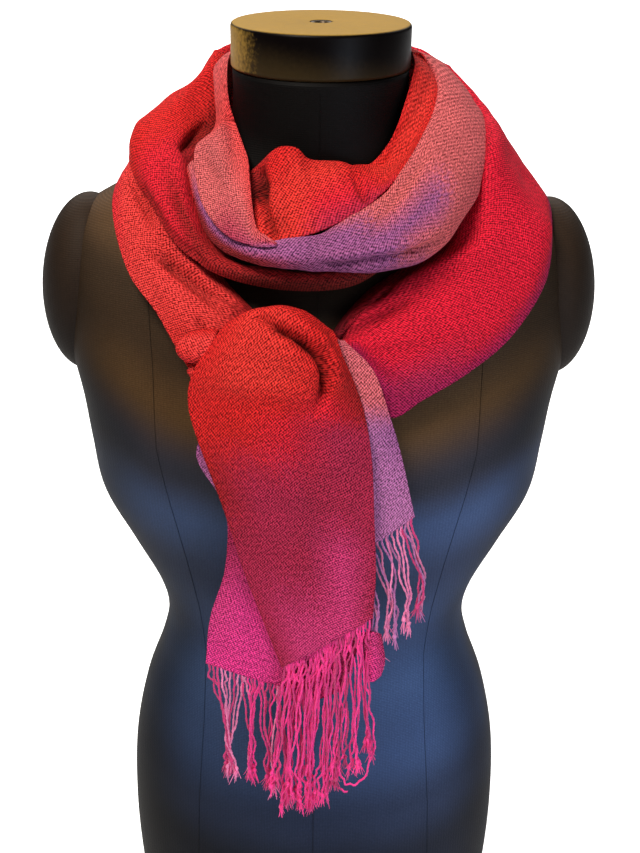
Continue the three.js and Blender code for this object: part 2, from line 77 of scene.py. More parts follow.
NECK_AXIS = (1.0, 1.0, 0.0)  # leaves only what lies off the neck's upright axis

Triple = tuple[float, float, float]
Material = bpy.types.Material
Object = bpy.types.Object
Socket = bpy.types.NodeSocket


# ---- Named options ----


class DyeAndShade(Enum):
    """Thread colours of the scarf, as 8-bit sRGB, and painted light: a highlight red, and reds and a lilac
    of painted shade.
    """

    RED = (208, 26, 30)
    # Painted highlight: red of folds that face the key lamp.
    BRIGHT_RED = (220, 50, 46)
    CRIMSON = (214, 22, 48)
    # Painted shade: red of hollows, inner edges and folds that lie in shadow.
    DEEP_RED = (146, 14, 26)
    # Painted shade: near-black red of the deepest hollows and of edges that run under other folds.
    SHADE_RED = (66, 4, 10)
    CORAL = (208, 94, 97)
    CORAL_RED = (222, 60, 60)
    LILAC = (146, 78, 136)
    # Painted shade: lilac of the lip in the shadow of the roll's ledge.
    DUSK_LILAC = (122, 60, 112)
    PALE_LILAC = (188, 112, 168)
    MAGENTA = (164, 32, 72)
    DEEP_MAGENTA = (146, 22, 78)
    PINK = (208, 60, 122)
    HOT_PINK = (236, 58, 140)
    PALE_PINK = (226, 124, 170)

    def linear(self) -> np.ndarray:
        """The colour as linear RGB from 0 to 1."""
        return srgb(self.value)


LETTERS = dict(zip("RBCDSOELUPMGKHA", DyeAndShade))  # a letter for each dye, in their order


def chart(text: str) -> list[tuple]:
    """Read how the dyes and painted light run along a stretch.

    Args:
        text: how far along in percent, then a letter of LETTERS for each column, and so on.

    Returns:
        Rows of a share along and its dyes.
    """
    words = text.split()
    rows = zip(words[::2], words[1::2])
    return [(float(at) / 100, *(LETTERS[key] for key in keys)) for at, keys in rows]


class Hold(Enum):
    """How a sheet is held."""

    DRAPED = "draped"
    HUNG = "hung"


class Slot(Enum):
    """Material slots of the record."""

    COVER = "form_cover"
    CAP = "cap_lacquer"
    RED = "twill_red"
    CRIMSON = "twill_crimson"
    CORAL = "twill_coral"
    LILAC = "twill_lilac"
    MAGENTA = "twill_magenta"
    FRINGE = "fringe_pink"


# ---- Small geometry helpers ----


def srgb(value: Triple) -> np.ndarray:
    """Turn 8-bit sRGB into linear RGB.

    Args:
        value: red, green and blue from 0 to 255.

    Returns:
        Three linear values from 0 to 1.
    """
    share = np.array(value, float) / 255
    return np.where(share <= 0.04045, share / 12.92, ((share + 0.055) / 1.055) ** 2.4)


def rgba(value: Triple) -> tuple[float, ...]:
    """An opaque linear colour from 8-bit sRGB."""
    return (*srgb(value), 1.0)


def smooth(points: np.ndarray, count: int) -> np.ndarray:
    """Read even steps of a smooth curve through points.

    Args:
        points: the points, one a row, along the first axis.
        count: the number of steps.

    Returns:
        count + 1 points.
    """
    spans = len(points) - 1
    padded = np.concatenate(
        [[2 * points[0] - points[1]], points, [2 * points[-1] - points[-2]]]
    )
    t = np.linspace(0, spans, count + 1)
    k = np.minimum(t.astype(int), spans - 1)
    w = (t - k).reshape((-1,) + (1,) * (points.ndim - 1))
    before, a, b, after = (padded[k + step] for step in range(4))
    out, into = (b - before) / 2, (after - a) / 2
    cubic = (2 * a - 2 * b + out + into) * w**3
    return cubic + (3 * b - 3 * a - 2 * out - into) * w**2 + out * w + a


def grid_normals(grid: np.ndarray) -> np.ndarray:
    """Unit normals of a grid of points, along x across x 3."""
    normals = np.cross(np.gradient(grid, axis=0), np.gradient(grid, axis=1))
    length = np.linalg.norm(normals, axis=2, keepdims=True)
    return normals / np.maximum(length, 1e-12)


def around_neck(rows: list[tuple]) -> np.ndarray:
    """Sections in upright planes round the neck.

    Args:
        rows: an angle in degrees, 0 in front and 90 at +X, then radius and height in turn.

    Returns:
        Points in metres, sections x points x 3.
    """
    sections = []
    for az, *points in rows:
        out, ahead = math.sin(math.radians(az)), -math.cos(math.radians(az))
        pairs = zip(points[::2], points[1::2])
        sections.append([(r * out, r * ahead, z) for r, z in pairs])
    return np.array(sections, float) * MM


def with_inner_edge(sections: np.ndarray, inward: float, down: float) -> np.ndarray:
    """Carry sections on past their first point, towards the neck and down.

    Args:
        sections: points in metres, sections x points x 3.
        inward: how far towards the neck's axis, in millimetres.
        down: how far down, in millimetres.

    Returns:
        The sections with one more point each.
    """
    first = sections[:, :1]
    out = first * NECK_AXIS
    out /= np.linalg.norm(out, axis=2, keepdims=True)
    edge = first - out * inward * MM - np.array([0, 0, down]) * MM
    return np.concatenate([edge, sections], axis=1)


def level(rows: list[tuple]) -> np.ndarray:
    """Sections given as rows of x, y and z in turn, in millimetres, turned into metres."""
    return np.array(rows, float).reshape(len(rows), -1, 3) * MM


def turns(count: int) -> np.ndarray:
    """Even angles round one turn."""
    return TURN * np.arange(count) / count


def unit_ball(lat: np.ndarray, lon: np.ndarray) -> np.ndarray:
    """Points of a ball of radius 1, latitudes x longitudes x 3."""
    ring = np.cos(lat)[:, None]
    height = np.sin(lat)[:, None] * np.ones_like(lon)
    return np.stack([ring * np.cos(lon), ring * np.sin(lon), height], axis=2)


def new_mesh(name: str, points: np.ndarray, faces: list | np.ndarray, finish: Material) -> Object:
    """Make a smooth-shaded mesh object.

    Args:
        name: the object's name.
        points: vertices in metres.
        faces: vertex numbers of each face.
        finish: its material.

    Returns:
        The new object, linked to the scene.
    """
    mesh = bpy.data.meshes.new(name)
    faces = faces.tolist() if isinstance(faces, np.ndarray) else faces
    mesh.from_pydata(points.reshape(-1, 3).tolist(), [], faces)
    mesh.polygons.foreach_set("use_smooth", [True] * len(mesh.polygons))
    mesh.update()
    mesh.materials.append(finish)
    obj = bpy.data.objects.new(name, mesh)
    bpy.context.scene.collection.objects.link(obj)
    return obj


def grid_faces(along: int, across: int, start: int = 0, closed: bool = False) -> np.ndarray:
    """Quads of a grid of along x across points.

    Args:
        along: number of rows.
        across: number of points in a row.
        start: number of the grid's first vertex.
        closed: whether each row closes into a ring.

    Returns:
        Quads as rows of four vertex numbers.
    """
    i, j = np.meshgrid(
        np.arange(along - 1), np.arange(across if closed else across - 1), indexing="ij"
    )
    k = (j + 1) % across
    row, below = i * across, (i + 1) * across
    quads = np.stack([row + j, below + j, below + k, row + k], axis=-1)
    return quads.reshape(-1, 4) + start


def tube_faces(count: int, sides: int, start: int = 0, flip: bool = False) -> list[list[int]]:
    """Faces of a tube that is closed at both ends.

    Args:
        count: number of rings.
        sides: number of points in a ring.
        start: number of the tube's first vertex.
        flip: whether the faces look the other way.

    Returns:
        Vertex numbers of each face, the two ends last.
    """
    last = start + (count - 1) * sides
    faces = grid_faces(count, sides, start, closed=True).tolist()
    faces += [list(range(start, start + sides)), list(range(last, last + sides))[::-1]]
    return [face[::-1] for face in faces] if flip else faces


def paint(obj: Object, colours: np.ndarray) -> None:
    """Store one linear colour a vertex in the attribute that the finishes read.

    Args:
        obj: the mesh object.
        colours: vertices x 3.
    """
    # Painted light: for the scarf this dye attribute also carries painted shade and highlights.
    layer = obj.data.color_attributes.new("dye", "FLOAT_COLOR", "POINT")
    values = np.ones((len(colours), 4), np.float32)
    values[:, :3] = colours
    layer.data.foreach_set("color", values.ravel())


def tie(obj: Object, slot: Slot, *nodes: str) -> None:
    """Tie a piece to the frame.

    Args:
        obj: the piece.
        slot: its material slot; not used.
        nodes: the nodes that it replaces, if any.
    """
    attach(obj, BODY)
    if nodes:
        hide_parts(*nodes)


# ---- Finishes ----


class Shader:
    """A material's node tree with short ways to add to it."""

    def __init__(self, name: str) -> None:
        """Start a material with one principled shader."""
        self.material = bpy.data.materials.new(name)
        self.material.use_nodes = True
        self.tree = self.material.node_tree
        self.surface = self.tree.nodes["Principled BSDF"]

    def node(self, kind: str, **values: object) -> bpy.types.Node:
        """Add a node.

        Args:
            kind: Blender's name of the node type.
            values: properties of the node.

        Returns:
            The node.
        """
        made = self.tree.nodes.new(kind)
        for key, value in values.items():
            setattr(made, key, value)
        return made

    def feed(self, socket: Socket, value: object) -> None:
        """Set a socket to a constant or link another socket to it."""
        if isinstance(value, Socket):
            self.tree.links.new(value, socket)
        else:
            socket.default_value = value

    def math(self, operation: str, *values: object) -> Socket:
        """A math node's result.

        Args:
            operation: the node's operation.
            values: constants or sockets, in order.

        Returns:
            The output socket.
        """
        made = self.node("ShaderNodeMath", operation=operation)
        for socket, value in zip(made.inputs, values):
            self.feed(socket, value)
        return made.outputs[0]

    def plus(self, first: object, second: object) -> Socket:
        """The sum of two values."""
        return self.math("ADD", first, second)

    def times(self, first: object, second: object) -> Socket:
        """The product of two values."""
        return self.math("MULTIPLY", first, second)

    def line(self, value: object, slope: object, offset: object) -> Socket:
        """A value times a slope, plus an offset."""
        return self.math("MULTIPLY_ADD", value, slope, offset)

    def xyz(self, vector: Socket) -> tuple[Socket, ...]:
        """The three parts of a vector."""
        made = self.node("ShaderNodeSeparateXYZ")
        self.feed(made.inputs[0], vector)
        return tuple(made.outputs)

    def dye(self) -> Socket:
        """The colour that each vertex of the piece carries."""
        return self.node("ShaderNodeAttribute", attribute_name="dye").outputs["Color"]

    def wave(self, phase: object, metres: float) -> Socket:
        """A sine from 0 to 1 that repeats every so many metres of phase."""
        return self.line(self.math("SINE", self.times(phase, TURN / metres)), 0.5, 0.5)

    def noise(self, place: object, scale: float, detail: float = 2.0) -> Socket:
        """A noise value from 0 to 1 at a place."""
        made = self.node("ShaderNodeTexNoise")
        self.feed(made.inputs["Vector"], place)
        made.inputs["Scale"].default_value = scale
        made.inputs["Detail"].default_value = detail
        return made.outputs["Fac"]

    def shade(self, colour: object, value: object, saturation: float = 1.0) -> Socket:
        """A colour with its brightness and saturation changed."""
        made = self.node("ShaderNodeHueSaturation")
        self.feed(made.inputs["Color"], colour)
        self.feed(made.inputs["Value"], value)
        made.inputs["Saturation"].default_value = saturation
        return made.outputs["Color"]

    def mix(self, share: object, first: object, second: object) -> Socket:
        """Two colours mixed by a share."""
        made = self.node("ShaderNodeMix", data_type="RGBA")
        self.feed(made.inputs["Factor"], share)
        colours = [socket for socket in made.inputs if socket.type == "RGBA"]
        for socket, value in zip(colours, (first, second)):
            self.feed(socket, value)
        return [socket for socket in made.outputs if socket.type == "RGBA"][0]

    def rise(self, value: object, low: float, high: float) -> Socket:
        """A share that rises softly from 0 to 1 as a value goes from low to high."""
        made = self.node("ShaderNodeMapRange", interpolation_type="SMOOTHSTEP")
        self.feed(made.inputs["Value"], value)
        made.inputs["From Min"].default_value = low
        made.inputs["From Max"].default_value = high
        return made.outputs[0]

    def bump(self, height: object, metres: float, strength: float = 1.0) -> None:
        """Drive the surface's normal by a height."""
        made = self.node("ShaderNodeBump")
        made.inputs["Distance"].default_value = metres
        made.inputs["Strength"].default_value = strength
        self.feed(made.inputs["Height"], height)
        self.feed(self.surface.inputs["Normal"], made.outputs["Normal"])

    def set(self, **values: object) -> None:
        """Set the surface's own sockets, with _ for a space in their names."""
        for key, value in values.items():
            self.feed(self.surface.inputs[key.replace("_", " ")], value)


@dataclass(frozen=True)
class TwillFinish:
    """Soft two-tone twill: pale weft floats over darker warp, in fine slanted ribs."""

    name: str
    weft: Triple  # colour of the pale threads, sRGB
    pitch: float = 1.75 * MM  # from rib to rib
    contrast: float = 0.62
    tint: float = 0.14  # share of the weft's own colour in the pale threads
    floats: float = 520.0  # noise scale of the weft floats
    sharpness: float = 2.9  # how sharply the floats stand out
    dark_share: float = 1.44  # the higher, the fewer pale threads
    slub: float = 6.5 * MM  # from one thick thread to the next
    relief: float = 0.16 * MM

    def build(self) -> Material:
        """Make the material.

        Returns:
            The material, which reads the cloth's own coordinates and its dye, which carries painted shade
            and highlights.
        """
        s = Shader(self.name)
        dye = s.dye()
        cloth = s.node("ShaderNodeUVMap", uv_map="cloth").outputs["UV"]
        u, v, _ = s.xyz(cloth)
        drift = s.times(s.noise(cloth, 30.0), 1.2 * MM)
        rib = s.wave(s.plus(s.plus(u, s.times(v, 0.8)), drift), self.pitch)
        slant = s.math("SUBTRACT", v, s.times(u, 0.5))
        pick = s.wave(s.plus(slant, drift), self.pitch * 1.2)
        stretched = s.node("ShaderNodeMapping")
        s.feed(stretched.inputs["Vector"], cloth)
        stretched.inputs["Rotation"].default_value = (0, 0, 0.7)
        stretched.inputs["Scale"].default_value = (1.0, 2.2, 1.0)
        floats = s.noise(stretched.outputs[0], self.floats)
        weave = s.line(rib, 0.62, s.times(pick, 0.36))
        speckle = s.line(floats, self.sharpness, s.math("SUBTRACT", weave, self.dark_share))
        fibre = s.noise(cloth, 1500.0, 3.0)
        slub = s.wave(s.plus(u, s.times(s.noise(cloth, 25.0), 6 * MM)), self.slub)
        cloud = s.noise(cloth, 34.0, 3.0)
        dark = s.shade(dye, 1 - 1.3 * self.contrast, 1.08)
        weft = rgba(self.weft)
        pale = s.mix(self.tint, s.shade(dye, 1 + 0.9 * self.contrast), weft)
        clamp = s.node("ShaderNodeClamp")
        s.feed(clamp.inputs["Value"], speckle)
        threads = s.mix(clamp.outputs[0], dark, pale)
        patch = s.line(cloud, 0.3, s.line(slub, 0.07, 0.8))
        s.set(Base_Color=s.shade(threads, patch), Roughness=0.85, Specular_IOR_Level=0.15,
              Sheen_Weight=0.04, Sheen_Roughness=0.5, Sheen_Tint=weft)
        s.bump(s.line(fibre, 0.3, speckle), self.relief, 0.7)
        return s.material


@dataclass(frozen=True)
class YarnFinish:
    """Twisted fringe yarn with a soft fuzz."""

    name: str = "fringe_yarn"

    def build(self) -> Material:
        """Make the material, which reads each strand's own dye."""
        s = Shader(self.name)
        dye = s.dye()
        place = s.node("ShaderNodeTexCoord").outputs["Object"]
        fibre = s.noise(place, 1900.0, 3.0)
        s.set(Base_Color=s.shade(dye, s.line(fibre, 0.7, 0.74)), Roughness=0.8,
              Specular_IOR_Level=0.25, Sheen_Weight=0.15, Sheen_Roughness=0.4)
        s.bump(fibre, 0.3 * MM, 0.6)
        return s.material


@dataclass(frozen=True)
class JerseyFinish:
    """Fine dark stretch jersey with a satin face and painted light: brown reflections above the bust, blue
    ones below it, and painted shade at its sides and in the middle of the chest.
    """

    name: str
    tones: tuple[tuple[float, Triple], ...]  # painted light by height: heights in metres, sRGB
    depth: float = 1.0  # how light the whole cloth is
    painted_side_shade: float = 0.7  # painted shade: how much of its light the cloth loses where it faces sideways
    bend: float = 1.4  # how strongly the tones rise towards the sides, per metre
    unbent: float = 0.0088  # the square of x where they neither rise nor fall
    plain: Triple = (40, 35, 37)  # the even tone behind, sRGB
    course: float = 1.3 * MM  # from one row of loops to the next
    stitch: float = 2.1 * MM  # from loop to loop
    relief: float = 0.16 * MM

    def build(self) -> Material:
        """Make the material.

        Returns:
            The material, which reads heights and normals of the form itself.
        """
        s = Shader(self.name)
        coordinates = s.node("ShaderNodeTexCoord").outputs
        place = coordinates["Object"]
        x, _, z = s.xyz(place)
        across, ahead, _ = s.xyz(coordinates["Normal"])
        tallest = self.tones[-1][0]
        # Painted light: a ramp of brown and blue reflections and dark bands by height, rising towards the
        # sides.
        ramp = s.node("ShaderNodeValToRGB")
        ramp.color_ramp.interpolation = "EASE"
        stops = ramp.color_ramp.elements
        for k, (height, tone) in enumerate(self.tones):
            stop = stops[k] if k < 2 else stops.new(1.0)
            stop.position = height / tallest
            stop.color = rgba(tone)
        bend = s.line(s.times(x, x), -self.bend, self.unbent * self.bend)
        lean = s.plus(s.line(s.noise(place, 9.0), 0.03, s.plus(z, -0.015)), bend)
        s.feed(ramp.inputs["Fac"], s.math("DIVIDE", lean, tallest))
        # Painted shade: the cloth grows darker where it faces sideways.
        sideways = s.math("ABSOLUTE", across)
        side = s.rise(sideways, 0.4, 0.85)
        # The painted reflections fade to the plain tone on the back.
        behind = s.rise(s.line(sideways, 0.6, ahead), 0.1, 0.7)
        tone = s.mix(behind, ramp.outputs["Color"], rgba(self.plain))
        # Painted light: the lower body is darker on the left and lighter on the right.
        below = s.math("MAXIMUM", s.math("SUBTRACT", 0.62, z), 0.0)
        tilt = s.line(s.times(x, below), 12.0, 1.0)
        course = s.wave(z, self.course)
        loops = s.wave(s.plus(x, s.times(s.noise(place, 300.0), 1.5 * MM)), self.stitch)
        knit = s.times(course, s.line(loops, 0.5, 0.5))
        pile = s.noise(place, 900.0, 4.0)
        cloud = s.noise(place, 14.0, 3.0)
        light = s.line(pile, 0.7, s.line(cloud, 0.5, 0.4))
        light = s.times(light, s.line(knit, 0.35, 0.82))
        light = s.times(light, s.line(side, -self.painted_side_shade, 1.0))
        # Painted shadow: the chest near the middle, above the knot, is darker.
        under = s.times(s.rise(z, 0.575, 0.6), s.rise(s.math("ABSOLUTE", x), 0.12, 0.07))
        light = s.times(light, s.times(tilt, s.line(under, -0.85, 1.0)))
        s.set(Base_Color=s.shade(tone, s.times(light, self.depth)), Roughness=0.62,
              Specular_IOR_Level=0.12)
        s.bump(s.plus(knit, pile), self.relief, 0.6)
        return s.material


@dataclass(frozen=True)
class LacquerFinish:
    """Black gloss lacquer on the cap's wall, with a painted tan reflection at the left and a painted olive
    one along the lower rim; a tan top, which is a painted reflection.
    """

    name: str = "cap_lacquer"
    wall: Triple = (5, 2, 2)
    # Painted reflections: tan on the top and at the left of the wall, olive along its lower rim.
    top: Triple = (162, 128, 55)
    low_reflection: Triple = (50, 39, 20)

    def build(self) -> Material:
        """Make the material, which tells the top from the wall by its normal."""
        s = Shader(self.name)
        coordinates = s.node("ShaderNodeTexCoord").outputs
        place = coordinates["Object"]
        across, ahead, upward = s.xyz(coordinates["Normal"])
        up = s.rise(upward, 0.62, 0.97)
        grain = s.noise(place, 260.0, 5.0)
        speck = s.math("GREATER_THAN", s.noise(place, 700.0, 1.0), 0.74)
        # Painted reflection: the top's tan, broken by black specks.
        tan = s.shade(rgba(self.top), s.line(grain, 0.3, 0.85))
        black = rgba(self.wall)
        speckled_reflection = s.mix(s.times(speck, 0.35), tan, black)
        # Painted reflection: tan at the left of the wall and olive along its lower rim.
        wander = s.line(s.noise(place, 420.0), 0.3, -0.15)
        left = s.rise(s.math("SUBTRACT", wander, across), 0.66, 1.0)
        left = s.times(left, s.rise(s.times(ahead, -1.0), -0.3, 0.3))
        depth = s.plus(s.times(s.xyz(place)[2], -1.0), s.times(wander, 0.02))
        low = s.rise(s.plus(depth, s.times(across, -0.008)), -0.752, -0.728)
        wall = s.mix(left, s.mix(low, black, rgba(self.low_reflection)), tan)
        gloss = s.line(grain, 0.12, s.line(up, 0.2, 0.34))
        s.set(Base_Color=s.mix(up, wall, speckled_reflection), Specular_IOR_Level=0.08, Roughness=gloss)
        s.bump(grain, 0.05 * MM, 0.3)
        return s.material


@dataclass(frozen=True)
class SteelFinish:
    """Dull steel of the threaded sleeve in the cap."""

    name: str = "sleeve_steel"
    tone: tuple[float, float, float, float] = (0.09, 0.07, 0.05, 1.0)  # linear

    def build(self) -> Material:
        """Make the material."""
        s = Shader(self.name)
        wear = s.noise(s.node("ShaderNodeTexCoord").outputs["Object"], 800.0, 3.0)
        s.set(Base_Color=s.shade(self.tone, s.line(wear, 0.8, 0.6)), Metallic=1.0,
              Roughness=s.line(wear, 0.25, 0.3))
        return s.material


# ---- The scarf ----


@dataclass(frozen=True)
class Crease:
    """A soft trough (push below 0) or ridge on a stretch, between two places on it.

    Places are shares along and across the stretch. Push and half width are in millimetres.
    """

    start: tuple[float, float]
    end: tuple[float, float]
    push: float
    width: float
    to_edge: bool = False  # whether it runs out over the stretch's edge

    @classmethod
    def table(cls, *rows: tuple) -> list["Crease"]:
        """Read creases from rows.

        Args:
            rows: its start and its end, along and across in percent, its push and width in
                millimetres, and True where it runs out over the edge.

        Returns:
            The creases.
        """
        return [
            cls((a / 100, b / 100), (c / 100, d / 100), *others) for a, b, c, d, *others in rows
        ]

    @classmethod
    def chain(cls, push: float, width: float, *places: float) -> list["Crease"]:
        """Short creases end to end, which follow a curved cloth.

        Args:
            push: how far it goes in or out, in millimetres.
            width: half its width, in millimetres.
            places: where it runs, along and across in turn, in percent.

        Returns:
            The creases.
        """
        steps = range(0, len(places) - 2, 2)
        return cls.table(*((*places[k:k + 4], push, width) for k in steps))


@dataclass
class Loft:
    """One smooth grid of cloth through a table of sections, with creases."""

    sections: np.ndarray
    along: int
    across: int
    side: int  # 1 where creases push along the grid's normals, -1 where they push against them
    creases: list[Crease]
    dyes: list[tuple]
    ripple: float = 0.25  # height of the cloth's fine unevenness, in millimetres
    stray: float = 0.012  # how far threads of one colour stray into the next
    border: float = 2.5  # how quickly creases rise from the edges
    blunt: float = 0.45  # share of its push that a crease keeps at its ends
    deep: float = 9.0  # depth of a trough, in millimetres, where its painted shade is full
    shade: float = 0.72  # painted shade: how much darker the cloth is in a deep trough

    def plain(self) -> np.ndarray:
        """The grid without creases, along x across x 3, in metres."""
        finer = np.stack([smooth(section, self.across) for section in self.sections])
        return smooth(finer, self.along)

    def grid(self) -> np.ndarray:
        """The pressed grid, along x across x 3, in metres."""
        return self.press(self.plain())

    def press(self, grid: np.ndarray) -> np.ndarray:
        """Push a grid along its normals at its creases.

        Args:
            grid: the plain grid.

        Returns:
            The pressed grid.
        """
        fade = self.fade(grid)
        push = self.folds(grid)
        push += self.ripple * fade * self.unevenness(grid)
        return grid + grid_normals(grid) * (self.side * push * MM)[..., None]

    def fade(self, grid: np.ndarray) -> np.ndarray:
        """Shares from 0 at the stretch's edges to 1 inside it."""
        s = np.linspace(0, 1, grid.shape[0])[:, None]
        t = np.linspace(0, 1, grid.shape[1])[None, :]
        return np.minimum(1, self.border * np.sin(np.pi * s) * np.sin(np.pi * t))

    def folds(self, grid: np.ndarray) -> np.ndarray:
        """How far the creases push each grid point out, in millimetres."""
        fade = self.fade(grid)
        push = np.zeros(grid.shape[:2])
        for crease in self.creases:
            a, b = (self.place(grid, where) for where in (crease.start, crease.end))
            line = b - a
            along = np.clip((grid - a) @ line / (line @ line), 0, 1)[..., None]
            off = np.linalg.norm(grid - a - along * line, axis=2) / (crease.width * MM)
            middle = np.sin(np.pi * np.clip(along[..., 0], 0.08, 0.92))
            taper = self.blunt + (1 - self.blunt) * middle
            shape = crease.push * np.exp(-off * off) * taper
            push += shape if crease.to_edge else shape * fade
        return push

    @staticmethod
    def unevenness(grid: np.ndarray) -> np.ndarray:
        """Slow, shallow waves that keep the cloth from looking like sheet metal."""
        x, y, z = np.moveaxis(grid, 2, 0) / MM
        waves = np.sin(0.21 * x + 0.17 * z + 1.3) + np.sin(0.13 * y - 0.24 * z + 0.4)
        return waves + 0.7 * np.sin(0.37 * x - 0.29 * y + 0.11 * z)

    @staticmethod
    def place(grid: np.ndarray, where: tuple[float, float]) -> np.ndarray:
        """The grid's point at shares along and across."""
        last, end = grid.shape[0] - 1, grid.shape[1] - 1
        return grid[round(where[0] * last), round(where[1] * end)]

    def colours(self, shape: tuple[int, int], seed: int) -> np.ndarray:
        """The colour of each grid point: its dye, with threads of one colour straying into the next, and
        painted shade that darkens the troughs of creases.

        Args:
            shape: points along and across.
            seed: seed of the straying threads.

        Returns:
            along x across x 3 linear colours.
        """
        rng = np.random.default_rng(seed)
        stray = rng.normal(0, self.stray, shape)
        s = np.clip(np.linspace(0, 1, shape[0])[:, None] + stray, 0, 1)
        t = np.clip(np.linspace(0, 1, shape[1])[None, :] + stray[:, ::-1], 0, 1)
        stops = np.array([row[0] for row in self.dyes])
        table = np.array([[dye.linear() for dye in row[1:]] for row in self.dyes])
        columns = table.shape[1]
        k = np.clip(np.searchsorted(stops, s, side="right") - 1, 0, len(stops) - 2)
        w = np.clip((s - stops[k]) / (stops[k + 1] - stops[k]), 0, 1)
        w = (w * w * (3 - 2 * w))[..., None]
        m = np.minimum((t * (columns - 1)).astype(int), columns - 2)
        h = (t * (columns - 1) - m)[..., None]
        upper = table[k, m] * (1 - h) + table[k, m + 1] * h
        lower = table[k + 1, m] * (1 - h) + table[k + 1, m + 1] * h
        # Painted shade: the deeper a crease's trough, the darker its cloth.
        deep = np.clip(-self.folds(self.plain()) / self.deep, 0, 1)[..., None]
        return (upper * (1 - w) + lower * w) * (1 - self.shade * deep)


@dataclass
class Stretch:
    """A stretch of the scarf that shows: one or more lofts in one mesh."""

    name: str
    node: str
    slot: Slot
    hold: Hold
    rests_on: list[str]
    flat: tuple[float, float]  # cut width and length of what shows, in metres
    lofts: list[Loft]
    seed: int = 0  # of its straying threads

    def build(self, finish: Material) -> Object:
        """Make the stretch's mesh and dress it.

        Args:
            finish: the twill that it is cut from.

        Returns:
            The piece.
        """
        points, faces, colours, cloth = [], [], [], []
        start = 0
        for loft in self.lofts:
            grid = loft.grid()
            points.append(grid.reshape(-1, 3))
            faces.append(grid_faces(*grid.shape[:2], start=start))
            colours.append(loft.colours(grid.shape[:2], self.seed + start).reshape(-1, 3))
            cloth.append(self.cloth_coordinates(loft.plain()).reshape(-1, 2))
            start += grid.shape[0] * grid.shape[1]
        obj = new_mesh(self.name, np.concatenate(points), np.concatenate(faces), finish)
        paint(obj, np.concatenate(colours))
        self.lay_coordinates(obj, np.concatenate(cloth))
        shell = obj.modifiers.new("cloth", "SOLIDIFY")
        shell.thickness = SHELL
        shell.offset = 0
        area = sum(p.area for p in obj.data.polygons)
        width, length = self.flat
        LOG.info("%s: cloth area %.4f m2, cut %.4f m2", self.name, area, width * length)
        return obj

    @staticmethod
    def cloth_coordinates(grid: np.ndarray) -> np.ndarray:
        """Metres along and across the cloth itself at each grid point."""
        along = np.linalg.norm(np.diff(grid, axis=0), axis=2)
        across = np.linalg.norm(np.diff(grid, axis=1), axis=2)
        u = np.concatenate([np.zeros((1, grid.shape[1])), np.cumsum(along, axis=0)])
        v = np.concatenate([np.zeros((grid.shape[0], 1)), np.cumsum(across, axis=1)], axis=1)
        u -= u[grid.shape[0] // 2]
        v -= v[:, grid.shape[1] // 2][:, None]
        return np.stack([u, v], axis=2)

    @staticmethod
    def lay_coordinates(obj: Object, cloth: np.ndarray) -> None:
        """Store the cloth coordinates as a UV map."""
        layer = obj.data.uv_layers.new(name="cloth")
        corners = np.empty(len(obj.data.loops), np.int32)
        obj.data.loops.foreach_get("vertex_index", corners)
        layer.data.foreach_set("uv", cloth[corners].astype(np.float32).ravel())

    def declare(self, obj: Object, going_with: list[Object]) -> None:
        """Tie the piece to the frame and hide the node that it replaces.

        Args:
            obj: the piece.
            going_with: pieces that go with it, such as its fringe; not used.
        """
        tie(obj, self.slot, self.node)


